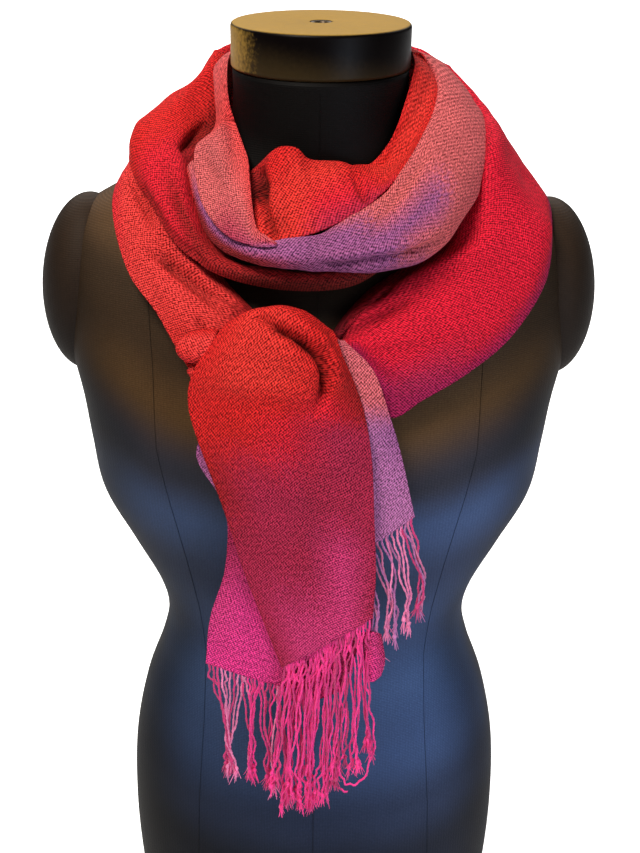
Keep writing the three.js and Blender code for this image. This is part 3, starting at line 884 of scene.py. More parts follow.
@dataclass
class Scarf:
    """All stretches of the scarf, from the loop to the ends.

    Each has its table of sections, in millimetres, its creases and the chart of its dyes and painted light.
    """

    first_seed: int = 11

    def stretches(self) -> list[Stretch]:
        """The stretches, each with a seed of its own.

        Returns:
            The stretches in the order in which they are built.
        """
        made = [self.cowl_bowl(), self.cowl_roll(), self.cowl_left_fold(), self.nape_loop(),
                self.nape_wrap(), self.left_shoulder_fold(), self.left_front_fall(),
                self.right_shoulder_drape(), self.front_tail(), self.right_tail_strip(),
                self.left_under_tail()]
        for seed, stretch in enumerate(made, self.first_seed):
            stretch.seed = seed
        return made

    def cowl_bowl(self) -> Stretch:
        """The red inside of the loop. Columns: neck, hump, hollow, crest."""
        rows = [
            (-34, 67, 678, 75, 679, 88, 667, 103, 650), (-20, 63, 689, 71, 694, 88, 675, 110, 647),
            (-6, 61, 685, 70, 688, 88, 671, 110, 652), (8, 61, 684, 70, 687, 88, 676, 106, 661),
            (20, 62, 680, 70, 682, 85, 677, 99, 671), (32, 63.5, 684, 70, 680, 82, 680, 92, 683),
            (46, 63, 698, 68, 691, 76, 690, 84, 697), (62, 60.5, 717, 66, 713, 72, 709, 79, 709),
            (82, 60, 734, 65, 731, 70, 726, 75, 721), (102.5, 61, 739, 65, 737, 69, 734, 73, 729),
        ]
        creases = Crease.table(
            (5, 75, 30, 35, -3, 7), (20, 55, 60, 75, 2.5, 7), (5.5, 52, 9.2, 74, -12, 4.5, True),
            (15, 80, 19, 97, -3, 5, True), (10.8, 76, 16.5, 100, -7, 2.8, True),
            (17, 30, 24, 85, 3.5, 5), (38.5, 3, 41.2, 90, -7, 3, True), (50, 10, 56, 60, 2.5, 5),
            (46, 20, 70, 50, 2.2, 5), (50, 75, 90, 70, -2, 3.5), (60, 30, 95, 35, -1.6, 3),
        )
        # Painted light: S and D are shade in the hollow at the bowl's left end, B a highlight on its lit
        # front and right side.
        dyes = chart(
            "0 DDSSR  3.5 RRDSR  6.5 RRDSB  9 RRRRB  12 RRRBB  20 RRBBB  30 RBBCM  "
            "40 RRRCM  60 RBBBR  100 RBBBR"
        )
        return Stretch("bowl_of_loop", "cowl_bowl", Slot.RED, Hold.DRAPED,
                       ["form_cover", "outside_of_loop"], (0.045, 0.175),
                       [Loft(around_neck(rows), 170, 56, -1, creases, dyes)])

    def cowl_roll(self) -> Stretch:
        """The outside of the same fold. Columns: crest, shoulder, belly, lip, tuck."""
        rows = [
            (-60, 91, 681, 93, 680.5, 95, 678, 95.5, 674, 93, 671),
            (-50, 94, 668, 97, 666, 99, 661, 99, 653, 95, 650),
            (-35, 105.5, 653, 107, 651, 109, 647, 108, 640, 103, 637),
            (-20, 112, 648, 116, 646, 118, 642, 115, 636, 109, 634),
            (-5, 112, 653, 118, 649, 121, 642, 117, 635, 110, 634),
            (10, 108, 662, 116, 655, 121, 644, 118, 634, 110, 632),
            (24, 100, 674, 112, 665, 121, 649, 118, 634, 109, 630),
            (38, 91, 690, 106, 680, 119, 661, 118, 641, 108, 633),
            (52, 85, 703, 100, 694, 114, 676, 114, 655, 104, 645),
            (70, 80, 714, 95, 707, 110, 690, 110, 675, 101, 669),
            (90, 77, 726, 91, 719, 105, 703, 105, 689, 97, 681),
            (112, 76, 734, 87, 730, 96, 717, 98, 701, 91, 691),
            (132, 76, 737, 83, 733, 89, 725, 90, 713, 85, 704),
        ]
        creases = Crease.table(
            (35, 45, 95, 30, -3, 8), (30, 60, 70, 75, 2.5, 7), (24, 64, 40, 60.5, 2.2, 2.8),
            (38, 60.5, 47, 59, 2.4, 2.8), (45, 59, 56, 65.5, 2.4, 2.8),
            (24, 70, 39, 66.8, -2.4, 2.6), (37.5, 66.8, 46, 65.2, -3, 2.6),
            (45, 65.2, 52.5, 68.8, -3, 2.6), (51.5, 68.4, 59, 73, -2.6, 2.6),
            (42, 76, 56, 79, 2, 3), (20, 35, 42, 20, 1.8, 4), (42, 25, 78, 22, 2, 4.5),
            (55, 50, 85, 55, -1.6, 4), (45, 45, 60, 28, -1.8, 3.5),
        )
        # Painted shade: D, S and U darken the lip and the tuck along the roll's lower edge.
        dyes = chart(
            "0 OOOOEDD  12 OOLLDDD  25 LPLLDDS  36 LLLLUUS  42 OOLLUUU  47.5 OOOLLUU  "
            "52.5 OOOLOUL  58.5 OOOLOOL  64 OOOOOOL  100 EOOOOOO"
        )
        return Stretch("outside_of_loop", "cowl_roll", Slot.CORAL, Hold.DRAPED,
                       ["form_cover", "shoulder_fold"], (0.055, 0.32),
                       [Loft(with_inner_edge(around_neck(rows), 4, 4.5), 240, 100, -1, creases,
                             dyes)])

    def cowl_left_fold(self) -> Stretch:
        """The coral strand down the left of the neck. Columns: neck, middle, outer."""
        rows = [
            (-125, 62, 738, 66, 737, 70, 733), (-104, 61, 736, 66, 734, 71, 729),
            (-88, 60, 723, 64, 721, 68, 715), (-75, 60, 712, 64, 708, 68.5, 701),
            (-67, 60, 705, 67, 701, 75, 694.5), (-60, 60.6, 699.5, 75, 695, 90, 688),
            (-47, 65, 691, 84, 683, 101, 667), (-36, 75, 687, 94, 675, 110, 656),
            (-27, 92, 679, 104, 668, 117, 650), (-20, 110, 658, 114.5, 653, 118.5, 647.5),
            (-15.5, 115, 653, 117, 650.5, 119.5, 647.5),
            (-12, 118, 650.5, 118.8, 649.6, 119.6, 648.6),
        ]
        creases = Crease.table(
            (25, 60, 60, 45, -2.4, 3.5), (46, 75, 62, 50, -2.6, 4), (30, 30, 75, 20, 1.2, 4),
            (50, 75, 85, 70, 1.2, 4), (55, 10, 62, 95, 0.6, 1.4),
        )
        dyes = chart("0 OOO  36 REE  48 EOO  60 EOO  72 EOM  100 OML")
        return Stretch("left_strand_of_loop", "cowl_left_fold", Slot.CORAL, Hold.DRAPED,
                       ["form_cover", "outside_of_loop"], (0.03, 0.14),
                       [Loft(around_neck(rows), 130, 34, 1, creases, dyes, 0.12)])

    def nape_loop(self) -> Stretch:
        """Where the loop closes behind the neck. Columns: top, fold, low."""
        rows = [
            (100.6, 61.5, 739, 67, 738, 72, 731), (128, 62, 741, 69, 739, 73, 727),
            (155, 62, 742, 71, 740, 77, 724), (180, 62, 742, 71, 739, 78, 721),
            (208, 62, 741, 70, 738, 76, 724), (237.5, 62.5, 739, 67, 737.5, 71, 733),
        ]
        dyes = chart("0 RRO  50 REE  100 OOO")
        creases = Crease.table(
            (10, 50, 90, 60, -1.2, 4), (30, 80, 75, 75, 1, 4),
        )
        return Stretch("loop_at_nape", "nape_loop", Slot.RED, Hold.DRAPED,
                       ["form_cover", "wrap_at_nape"], (0.024, 0.16),
                       [Loft(around_neck(rows), 120, 26, -1, creases, dyes, 0.12)])

    def nape_wrap(self) -> Stretch:
        """The outer turn on the upper back. Columns: top, upper, lower, hem."""
        rows = [
            (117.7, 96, 726, 103, 718, 120, 684, 132, 640),
            (138, 91, 734, 99, 722, 108, 686, 114, 640),
            (160, 84, 738, 93, 727, 100, 686, 104, 626),
            (170, 83, 739, 92.5, 727.5, 99, 685, 102.5, 619),
            (180, 82, 740, 92, 728, 99, 685, 102, 617),
            (190, 82, 740, 92, 728, 99.5, 686, 103, 619),
            (200, 82, 740, 92, 728, 100, 687, 104, 626),
            (222, 82, 738, 93, 725, 106, 690, 116, 638),
            (240.5, 80, 735, 91, 722, 112, 693, 131, 645),
        ]
        creases = [
            *Crease.chain(-6, 5.5, 0, 45, 13, 50, 27, 55, 41, 58, 55, 58, 69, 54, 83, 49, 100, 42),
            *Crease.chain(3.5, 6, 5, 38, 20, 42, 35, 46, 50, 48, 65, 45, 80, 40, 95, 35),
            *Crease.chain(-5, 5, 2, 63, 16, 70, 30, 76, 44, 80, 58, 79, 72, 74, 90, 66),
            *Crease.chain(3.5, 6, 8, 57, 22, 63, 36, 68, 50, 69, 64, 67, 80, 60),
            *Crease.chain(-3, 4, 12, 33, 24, 36, 37, 40),
            *Crease.chain(-3, 4, 92, 30, 78, 33, 66, 37),
            *Crease.chain(2, 5, 30, 88, 45, 90, 60, 89),
        ]
        # Painted shade: D on the inner edge, which runs in under the loop.
        dyes = chart("0 DCCCCG  50 DCCCCG  100 DRRRRC")
        return Stretch("wrap_at_nape", "nape_wrap", Slot.CRIMSON, Hold.DRAPED,
                       ["form_cover"], (0.115, 0.215),
                       [Loft(with_inner_edge(around_neck(rows), 8, 8), 150, 90, -1, creases,
                             dyes)])

    def left_shoulder_fold(self) -> Stretch:
        """The red fold on the left shoulder. Columns: inner, ridge, middle, outer."""
        rows = [
            (-119.8, 79, 735, 84, 732, 89, 724, 91, 712),
            (-105, 75, 724, 81, 724, 88, 715, 91, 702), (-94, 74, 713, 88, 715, 106, 705, 112, 692),
            (-83, 81, 702, 99, 704, 121, 691, 124, 678),
            (-70, 94, 690, 107, 689, 119, 678, 122, 665),
            (-58, 101, 676, 109, 673, 118, 664, 120, 652),
            (-46, 107, 653, 112, 652, 119, 646, 119, 636),
            (-34, 108, 634, 113, 634, 116, 631, 114, 625),
            (-20, 104, 629, 109, 628, 111, 625, 108, 619),
            (-4, 102, 628, 107, 627, 108, 623, 104, 617),
            (12, 99, 628, 103, 627, 104, 623, 101, 619), (27, 93, 635, 97, 635, 98, 631, 95, 628),
        ]
        creases = Crease.table(
            (20, 35, 60, 50, -2.5, 9), (30, 15, 55, 20, 1.6, 4), (24, 75, 50, 70, 1.8, 5),
            (50, 50, 85, 55, -1.8, 3), (42, 55, 60, 80, -2, 3.5), (29, 12, 38, 20, -7, 3.5, True),
            (40, 95, 60, 90, -4, 3.5, True),
        )
        # Painted shade: S on the inner edge, which runs in under the roll, and D and S over the front end,
        # in the roll's shadow.
        dyes = chart("0 SRRRR  30 SRRRR  40 SCCCD  52 SCDCD  62 DDDDD  75 SDDSS  100 SDSSS")
        return Stretch("shoulder_fold", "left_shoulder_fold", Slot.RED, Hold.DRAPED,
                       ["form_cover", "fall_to_knot"], (0.046, 0.28),
                       [Loft(with_inner_edge(around_neck(rows), 15, 8), 190, 56, -1, creases,
                             dyes)])

    def left_front_fall(self) -> Stretch:
        """The coral-red stretch into the knot. Columns: inner, upper, middle, outer."""
        rows = [
            (-119.8, 95, 714, 107, 701, 119, 679, 131, 645),
            (-102, 95, 697, 107, 692, 120, 679, 132, 659),
            (-87, 98, 684, 110, 680, 122, 673, 132, 660),
            (-76, 102, 677, 115, 667.4, 128, 661.5, 137, 652),
            (-66, 106, 661, 119, 652.4, 132, 646, 140, 636),
            (-56, 109, 646, 122, 641, 134, 632, 141, 616),
            (-46, 109, 629, 121, 625, 133, 617, 139, 600),
            (-38, 109, 619, 121, 615, 133, 605, 141, 583),
            (-31, 111, 612, 121, 607, 133, 593, 141, 567),
            (-22.5, 114, 603, 120, 599, 127, 591, 132, 577),
        ]
        creases = Crease.table(
            (36, 62.5, 65, 55, -5, 3.2), (62, 56.5, 84, 40, -5.5, 3),
            (82, 41.5, 96, 29.5, -4, 3, True), (58, 66.3, 93, 52, -5, 3),
            (30, 81.2, 85, 85, 2.5, 8), (55, 43, 95, 43.8, 3, 4),
            (86, 71.5, 93, 86.5, -4, 2.6, True), (78, 71.5, 88, 85, 2.6, 4),
            (45, 70, 75, 96.2, -1.8, 5),
        )
        # Painted shade: S and D on the inner edge under the shoulder fold and at the end that runs into the
        # knot.
        dyes = chart("0 DRRCC  30 SDEEC  60 SDEEE  90 DEEER  100 DDDRR")
        curl = [
            (-60, -116, 596, -61, -127, 594, -62, -131, 586, -61, -128, 579, -60, -118, 576),
            (-73, -116, 595, -75, -125, 593, -76, -129, 585.5, -75, -127, 579, -73, -118, 576),
            (-80, -117, 592, -82, -122, 590, -83.5, -125, 585, -82, -123, 580, -80, -118, 578),
            (-83, -118, 588, -84.5, -119, 587, -85.5, -120, 585, -84.5, -119, 583, -83, -118, 582),
        ]
        lower = [
            (-60, -118, 579, -61, -127, 577, -61, -130, 571, -61, -128, 564, -60, -118, 561),
            (-70, -118, 578, -71, -125, 576, -72, -128, 570.5, -71, -126, 565, -70, -118, 563),
            (-75, -118, 575, -76.5, -122, 573.5, -77.5, -124, 570, -76.5, -122, 567,
             -75, -118, 565),
            (-77.5, -118, 572, -78.5, -119, 571, -79, -120, 570, -78.5, -119, 569,
             -77.5, -118, 568),
        ]
        # Painted shade: D on the undersides of the knot's lobes.
        knot = chart("0 REERD  100 RERCD")
        return Stretch("fall_to_knot", "left_front_fall", Slot.RED, Hold.DRAPED,
                       ["form_cover"], (0.058, 0.24),
                       [Loft(with_inner_edge(around_neck(rows), 11, 3), 170, 74, -1, creases, dyes),
                        Loft(level(curl), 30, 32, 1, [], knot, 0.1),
                        Loft(level(lower), 30, 32, 1, [], knot, 0.1)])

    def right_shoulder_drape(self) -> Stretch:
        """The wide crimson stretch. Columns: inner, upper, middle, lower, hem."""
        rows = [
            (117.9, 96, 726, 103, 718, 112, 701, 123, 673, 132, 640),
            (104, 103, 713, 109, 705, 119, 690, 132, 667, 144, 643.2),
            (90, 109, 703, 117, 695, 129, 678, 140, 664, 149, 652),
            (78, 114, 697, 125, 684, 138, 664, 149, 652, 154, 641),
            (66, 118, 682, 129, 667, 144, 648, 155, 631, 158, 612),
            (54, 113, 641, 126, 640, 140, 622, 149, 603, 151, 584),
            (42, 107, 629, 121, 622, 133, 603, 140, 583, 141, 565),
            (30, 105, 622, 116, 611, 126, 591, 132, 570, 133, 551),
            (20, 104, 613, 111, 603, 118, 585, 124, 563, 128, 541),
            (12, 106, 602, 109, 597, 112, 590, 115, 582, 117, 573),
            (6, 105, 589, 107, 586, 109, 583, 111, 579, 113, 575),
        ]
        creases = Crease.table(
            (30, 40, 90, 25, -3.5, 9), (35, 80, 85, 72, 3, 10), (45, 60, 95, 50, -3, 9),
            (55, 30, 98, 35, 2.4, 4), (60, 12, 95, 20, -2.4, 3.5), (70, 62, 99, 62, 2, 4),
            (30, 55, 50, 30, -2, 6), (25, 90, 45, 60, 1.8, 6), (75, 85, 97, 70, -1.8, 4),
            (76, 20, 99, 33, -5, 3, True), (72, 40, 99, 50, -4.5, 3.2, True),
        )
        # Painted shade: S on the inner edge under the roll, and D on the end by the knot, which lies in
        # dark folds.
        dyes = chart("0 SCCCCCG  30 SCCCCCG  55 SCCCCCG  70 SDCCCMG  85 SDCCCGG  100 SSDDCGG")
        return Stretch("drape_to_knot", "right_shoulder_drape", Slot.CRIMSON, Hold.DRAPED,
                       ["form_cover"], (0.08, 0.24),
                       [Loft(with_inner_edge(around_neck(rows), 14, 3), 180, 104, 1, creases,
                             dyes)])

    def front_tail(self) -> Stretch:
        """The knot's top roll and the end below it. Columns run from left to right."""
        rows = [
            (-44, -111.2, 594, -35, -112, 600, -24, -112, 603, -10, -112, 600, 0, -113, 593),
            (-52, -121, 603, -40, -125, 611, -25, -128, 615, -8, -128, 612, 9, -123, 598),
            (-64, -129, 591, -44, -137, 600, -23, -142, 603, -2, -140, 598, 15, -128, 584),
            (-75, -131, 573, -49, -142, 582, -23, -147, 584, 3, -144, 578, 23, -131, 566),
            (-78, -132, 553, -49, -142, 558, -21, -146, 560, 7, -143, 555, 29, -131.4, 547),
            (-72, -135, 528, -44, -141, 530, -16, -144, 530, 11, -142, 526, 34, -136, 520),
            (-58, -137, 484, -34, -140, 482, -10, -141, 480, 14, -140, 477, 37, -137, 474),
            (-45, -135, 434, -25, -138, 434, -4, -138, 434, 18, -137, 434, 39, -135, 435),
            (-22, -133, 361, -7, -135, 371, 8, -135, 381, 23, -134, 391, 38, -133, 401),
        ]
        creases = Crease.table(
            (30, 25, 75, 40, 2, 10), (18, 36, 23.5, 53, -5, 2.8), (22.5, 50, 27.5, 69, -11, 3),
            (26.5, 66, 31, 78.5, -14, 3.2), (30, 77.5, 37, 79, -14, 3.2),
            (36, 79, 44, 73.5, -10, 3.2), (43, 74, 50, 68, -4, 4), (17, 55, 23.5, 82, 5, 4.5),
            (22, 84, 36, 92, 5, 5), (27, 46, 38, 66, 4, 6), (42, 35, 50, 75, 2, 9),
            (50, 60, 95, 55, -1.4, 9), (60, 85, 95, 80, 1.2, 6),
        )
        # Painted light: B is a highlight on the lit upper left, D is shade on the right of the roll and on
        # the left edge lower down.
        dyes = chart(
            "0 RRRRR  22 RBBRR  42 RBBRD  50 RRRCD  58 RRCMM  72 DMMMM  84 MMMKM  100 MKKKM"
        )
        return Stretch("front_end", "front_tail", Slot.RED, Hold.HUNG,
                       ["form_cover", "end_behind"], (0.088, 0.262),
                       [Loft(level(rows), 190, 84, 1, creases, dyes)])

    def right_tail_strip(self) -> Stretch:
        """The lilac side of the other end. Columns: inner, middle, edge."""
        rows = [
            (1, -117.5, 586, 9, -118.5, 591, 16, -119, 591),
            (4, -121, 572, 19, -123, 576, 34, -123, 573),
            (11, -126, 545, 29, -129.3, 548, 44, -127, 547),
            (16, -127, 508, 35, -129, 514, 53, -127, 517),
            (22, -127, 444, 43, -129, 459, 63, -127, 474),
        ]
        dyes = chart("0 OOO  42 OOO  62 PPL  100 PPP")
        return Stretch("lilac_end", "right_tail_strip", Slot.LILAC, Hold.HUNG,
                       ["form_cover"], (0.034, 0.14),
                       [Loft(level(rows), 110, 36, 1,
                             Crease.table((15, 70, 80, 75, 1.0, 5)), dyes, 0.15)])

    def left_under_tail(self) -> Stretch:
        """The magenta side of the other end. Columns: left, middle, right."""
        rows = [
            (-50, -123.9, 579, -34, -127, 586, -16, -124, 586),
            (-60, -126, 548, -37, -128, 548, -11, -126, 548),
            (-75, -125, 516, -38, -128, 512, -8, -126, 508),
            (-58, -125, 478, -32, -128, 474, -6, -126, 470),
            (-59, -122, 432, -33, -127, 427, -5, -125, 422),
            (-70, -121, 392, -41, -126, 385, -6, -125, 378),
            (-74, -121, 355, -42, -124, 345, -8, -125, 335),
        ]
        dyes = chart("0 CCC  25 LMM  42 PMM  58 MKM  80 KHK  100 HHK")
        creases = Crease.table(
            (30, 15, 42, 30, 2, 4), (60, 35, 95, 45, -1.5, 7), (65, 10, 95, 15, 1.2, 5),
        )
        inner = [
            (-14, -129.5, 384, 4, -130, 392, 26, -130, 402),
            (-16, -129.5, 356, 4, -130, 362, 28, -130, 372),
            (-17, -129.5, 331, 3, -130, 333, 18, -130, 340),
        ]
        corner = [
            (31, -131, 388, 38, -133, 390, 44, -131, 387),
            (33, -131, 370, 40, -134.5, 370, 47, -131, 367),
            (33, -131, 354, 39, -133, 350, 45, -131, 354),
        ]
        patch = chart("0 MKM  100 KHK")
        return Stretch("end_behind", "left_under_tail", Slot.MAGENTA, Hold.HUNG,
                       ["form_cover"], (0.064, 0.26),
                       [Loft(level(rows), 150, 48, 1, creases, dyes),
                        Loft(level(inner), 40, 30, 1, [], patch, 0.2),
                        Loft(level(corner), 30, 16, 1, [], patch, 0.2)])


# ---- The fringe ----


@dataclass(frozen=True)
class Tassel:
    """Strands that start side by side on a hem and are caught together near their tips.

    Shares say where on the hem they start and end. The meeting point is in millimetres.
    """

    first: float
    last: float
    count: int
    meet: Triple
    tail: float = 26.0  # from the meeting point to the tips
    loose: float = 1.0  # how far strands stray from one another


@dataclass
class Fringe:
    """The fringe of one hem: twisted strands, their knots and frayed tips."""

    name: str
    node: str
    start: Triple
    end: Triple
    tassels: list[Tassel]
    dyes: tuple[DyeAndShade, ...]
    seed: int
    strand: float = 0.88  # half the width of a strand, in millimetres
    step: float = 1.5  # from ring to ring along a strand
    sides: int = 7
    ply_pitch: float = 7.5  # along a strand, for one turn of its two plies
    hairs: int = 7  # loose fibres below a knot
    loops: list[list[tuple]] = field(default_factory=list)

    def build(self, finish: Material) -> Object:
        """Make the whole fringe as one mesh.

        Args:
            finish: the yarn.

        Returns:
            The piece.
        """
        self.rng = np.random.default_rng(self.seed)
        self.points: list[np.ndarray] = []
        self.faces: list[list[int]] = []
        self.tones: list[np.ndarray] = []
        self.total = 0
        a, b = np.array(self.start, float), np.array(self.end, float)
        for tassel in self.tassels:
            for k in range(tassel.count):
                share = tassel.first + (tassel.last - tassel.first) * (k + 0.5) / tassel.count
                self.hang(a + (b - a) * share, tassel)
        for loop in self.loops:
            self.yarn(np.array(loop, float), self.tone())
        obj = new_mesh(self.name, np.concatenate(self.points) * MM, self.faces, finish)
        paint(obj, np.concatenate(self.tones))
        return obj

    def tone(self) -> np.ndarray:
        """One strand's colour, picked from the fringe's dyes and made a little paler or darker."""
        dye = self.dyes[self.rng.integers(len(self.dyes))].linear()
        return dye * self.rng.uniform(0.9, 1.4)

    def hang(self, root: np.ndarray, tassel: Tassel) -> None:
        """Add one strand of a tassel, with its knot and frayed tip.

        Args:
            root: where it leaves the hem.
            tassel: the tassel that it belongs to.
        """
        rng = self.rng
        meet = np.array(tassel.meet) + rng.normal(0, 1, 3) * (1.6, 1.2, 3.0) * tassel.loose
        drop = root[2] - meet[2]
        bow = rng.normal(0, 1.6) * tassel.loose
        tip = meet + (rng.normal(0, 2.4) * tassel.loose, rng.normal(0, 1.2),
                      -tassel.tail * rng.uniform(0.7, 1.1))
        line = np.array([
            root + (0, 0, 2.5),
            root + (0, -0.8, -0.12 * drop),
            root * 0.72 + meet * 0.28 + (bow, -1.2 + rng.normal(0, 0.8), 0),
            root * 0.36 + meet * 0.64 + (0.7 * bow + rng.normal(0, 0.8), -1 + rng.normal(0, 1), 0),
            meet,
            meet * 0.45 + tip * 0.55 + (rng.normal(0, 0.9), rng.normal(0, 0.6), 0),
            tip,
        ])
        tone = self.tone()
        self.yarn(line, tone)
        self.knot(tip, tone)
        self.fray(tip, tone)

    def yarn(self, line: np.ndarray, tone: np.ndarray) -> None:
        """Add a two-ply twisted strand along a line.

        Args:
            line: points that it runs through, in millimetres.
            tone: its colour.
        """
        length = np.linalg.norm(np.diff(line, axis=0), axis=1).sum()
        path = smooth(line, max(6, int(length / self.step)))
        heading = np.gradient(path, axis=0)
        heading /= np.linalg.norm(heading, axis=1, keepdims=True)
        side = np.cross(heading, (0.0, 1.0, 0.05))
        side /= np.linalg.norm(side, axis=1, keepdims=True)
        front = np.cross(side, heading)
        run = np.arange(len(path)) * self.step
        for across in (side, front):
            wave = self.rng.uniform(15, 28)
            sway = np.sin(run * TURN / wave + self.rng.uniform(0, 6)) * self.rng.uniform(0.3, 1.1)
            path = path + across * (sway * np.minimum(1, run / 12))[:, None]
        turn = (run * TURN / self.ply_pitch + self.rng.uniform(0, 6))[:, None]
        angle = turns(self.sides)
        wide = self.strand * 1.08 * np.cos(angle)
        thin = self.strand * 0.68 * np.sin(angle)
        x = wide * np.cos(turn) - thin * np.sin(turn)
        y = wide * np.sin(turn) + thin * np.cos(turn)
        rings = path[:, None] + side[:, None] * x[..., None] + front[:, None] * y[..., None]
        ply = 0.9 + 0.16 * np.cos(2 * (turn + angle))
        self.add(rings, ply[..., None] * tone)

    def knot(self, middle: np.ndarray, tone: np.ndarray) -> None:
        """Add a small overhand knot as a lumpy ball."""
        lat, lon = np.linspace(-1.45, 1.45, 6), turns(8)
        size = self.strand * self.rng.uniform(1.5, 1.9)
        lump = 1 + 0.18 * np.sin(3 * lon + 5 * lat[:, None])
        ball = unit_ball(lat, lon) * np.stack([lump, lump, np.full_like(lump, 1.25)], axis=2)
        self.add(ball[::-1] * size + middle, np.broadcast_to(tone * 0.92, ball.shape))

    def fray(self, root: np.ndarray, tone: np.ndarray) -> None:
        """Add the loose fibres below a knot."""
        angle = turns(3)
        for _ in range(self.hairs):
            reach = self.rng.uniform(6, 12)
            out = self.rng.normal(0, 1, 2) * 2.1
            ends = np.array([root, root + (0.5 * out[0], 0.5 * out[1], -0.5 * reach),
                             root + (out[0], out[1], -reach)])
            path = smooth(ends, 5)
            width = np.linspace(0.62, 0.22, len(path))[:, None] * self.strand
            x, y = path[:, :1] + width * np.cos(angle), path[:, 1:2] + width * np.sin(angle)
            rings = np.stack([x, y, np.repeat(path[:, 2:], 3, axis=1)], axis=2)
            self.add(rings, np.broadcast_to(tone * 1.05, rings.shape))

    def add(self, rings: np.ndarray, tones: np.ndarray) -> None:
        """Join a tube of rings to the fringe, closed at both ends.

        Args:
            rings: rings x sides x 3, in millimetres.
            tones: a colour for each point.
        """
        count, sides = rings.shape[:2]
        self.points.append(rings.reshape(-1, 3))
        self.tones.append(tones.reshape(-1, 3))
        self.faces += tube_faces(count, sides, self.total)
        self.total += count * sides


def fringes() -> dict[str, Fringe]:
    """The three fringes, by the stretch whose hem they hang from."""
    pinks = (DyeAndShade.PINK, DyeAndShade.HOT_PINK, DyeAndShade.HOT_PINK, DyeAndShade.HOT_PINK)
    return {
        "front_end": Fringe(
            "fringe_of_front_end", "front_tail_fringe", (-21, -133, 361.4), (37, -133, 400),
            [
                Tassel(0.0, 0.14, 5, (-26, -133, 286), 20),
                Tassel(0.04, 0.24, 7, (-17, -134, 280), 24),
                Tassel(0.16, 0.4, 9, (-9, -134, 276), 24),
                Tassel(0.3, 0.54, 9, (-1, -135, 274), 24),
                Tassel(0.44, 0.66, 8, (8, -134, 282), 24),
                Tassel(0.58, 0.78, 7, (17, -134, 292), 22),
                Tassel(0.74, 0.9, 5, (27, -134, 306), 24),
                Tassel(0.86, 1.0, 4, (37, -134, 316), 18),
            ],
            pinks, 31,
            loops=[
                [(16, -133, 350), (20, -134, 322), (17, -134, 292), (20, -134, 268),
                 (27, -134, 262), (36, -134, 270), (42, -134, 300), (38, -134, 330),
                 (35, -133, 352)],
                [(10, -133, 345), (12, -135, 318), (12, -135, 285), (17, -135, 262),
                 (24, -135, 256)],
            ],
        ),
        "lilac_end": Fringe(
            "fringe_of_lilac_end", "right_strip_fringe", (24, -127.3, 444.9), (62, -127, 472.8),
            [
                Tassel(0.0, 0.3, 5, (40, -129, 404), 26),
                Tassel(0.25, 0.6, 5, (50, -129, 410), 26),
                Tassel(0.55, 0.85, 4, (62, -129, 418), 22),
                Tassel(0.8, 1.0, 4, (71, -128, 426), 20),
            ],
            (DyeAndShade.PALE_PINK, DyeAndShade.PINK, DyeAndShade.PALE_LILAC, DyeAndShade.PALE_PINK), 32,
        ),
        "end_behind": Fringe(
            "fringe_of_end_behind", "left_under_tail_fringe",
            (-73, -121.3, 354.3), (-10, -125, 335.2),
            [
                Tassel(0.0, 0.4, 9, (-60, -124, 290), 20, 0.7),
                Tassel(0.36, 0.6, 7, (-43, -126, 292), 24, 0.8),
                Tassel(0.55, 0.78, 6, (-31, -128, 280), 22, 0.8),
                Tassel(0.74, 1.0, 7, (-19, -130, 270), 24),
            ],
            pinks + (DyeAndShade.PALE_PINK,), 33,
        ),
    }


# ---- The dress form ----


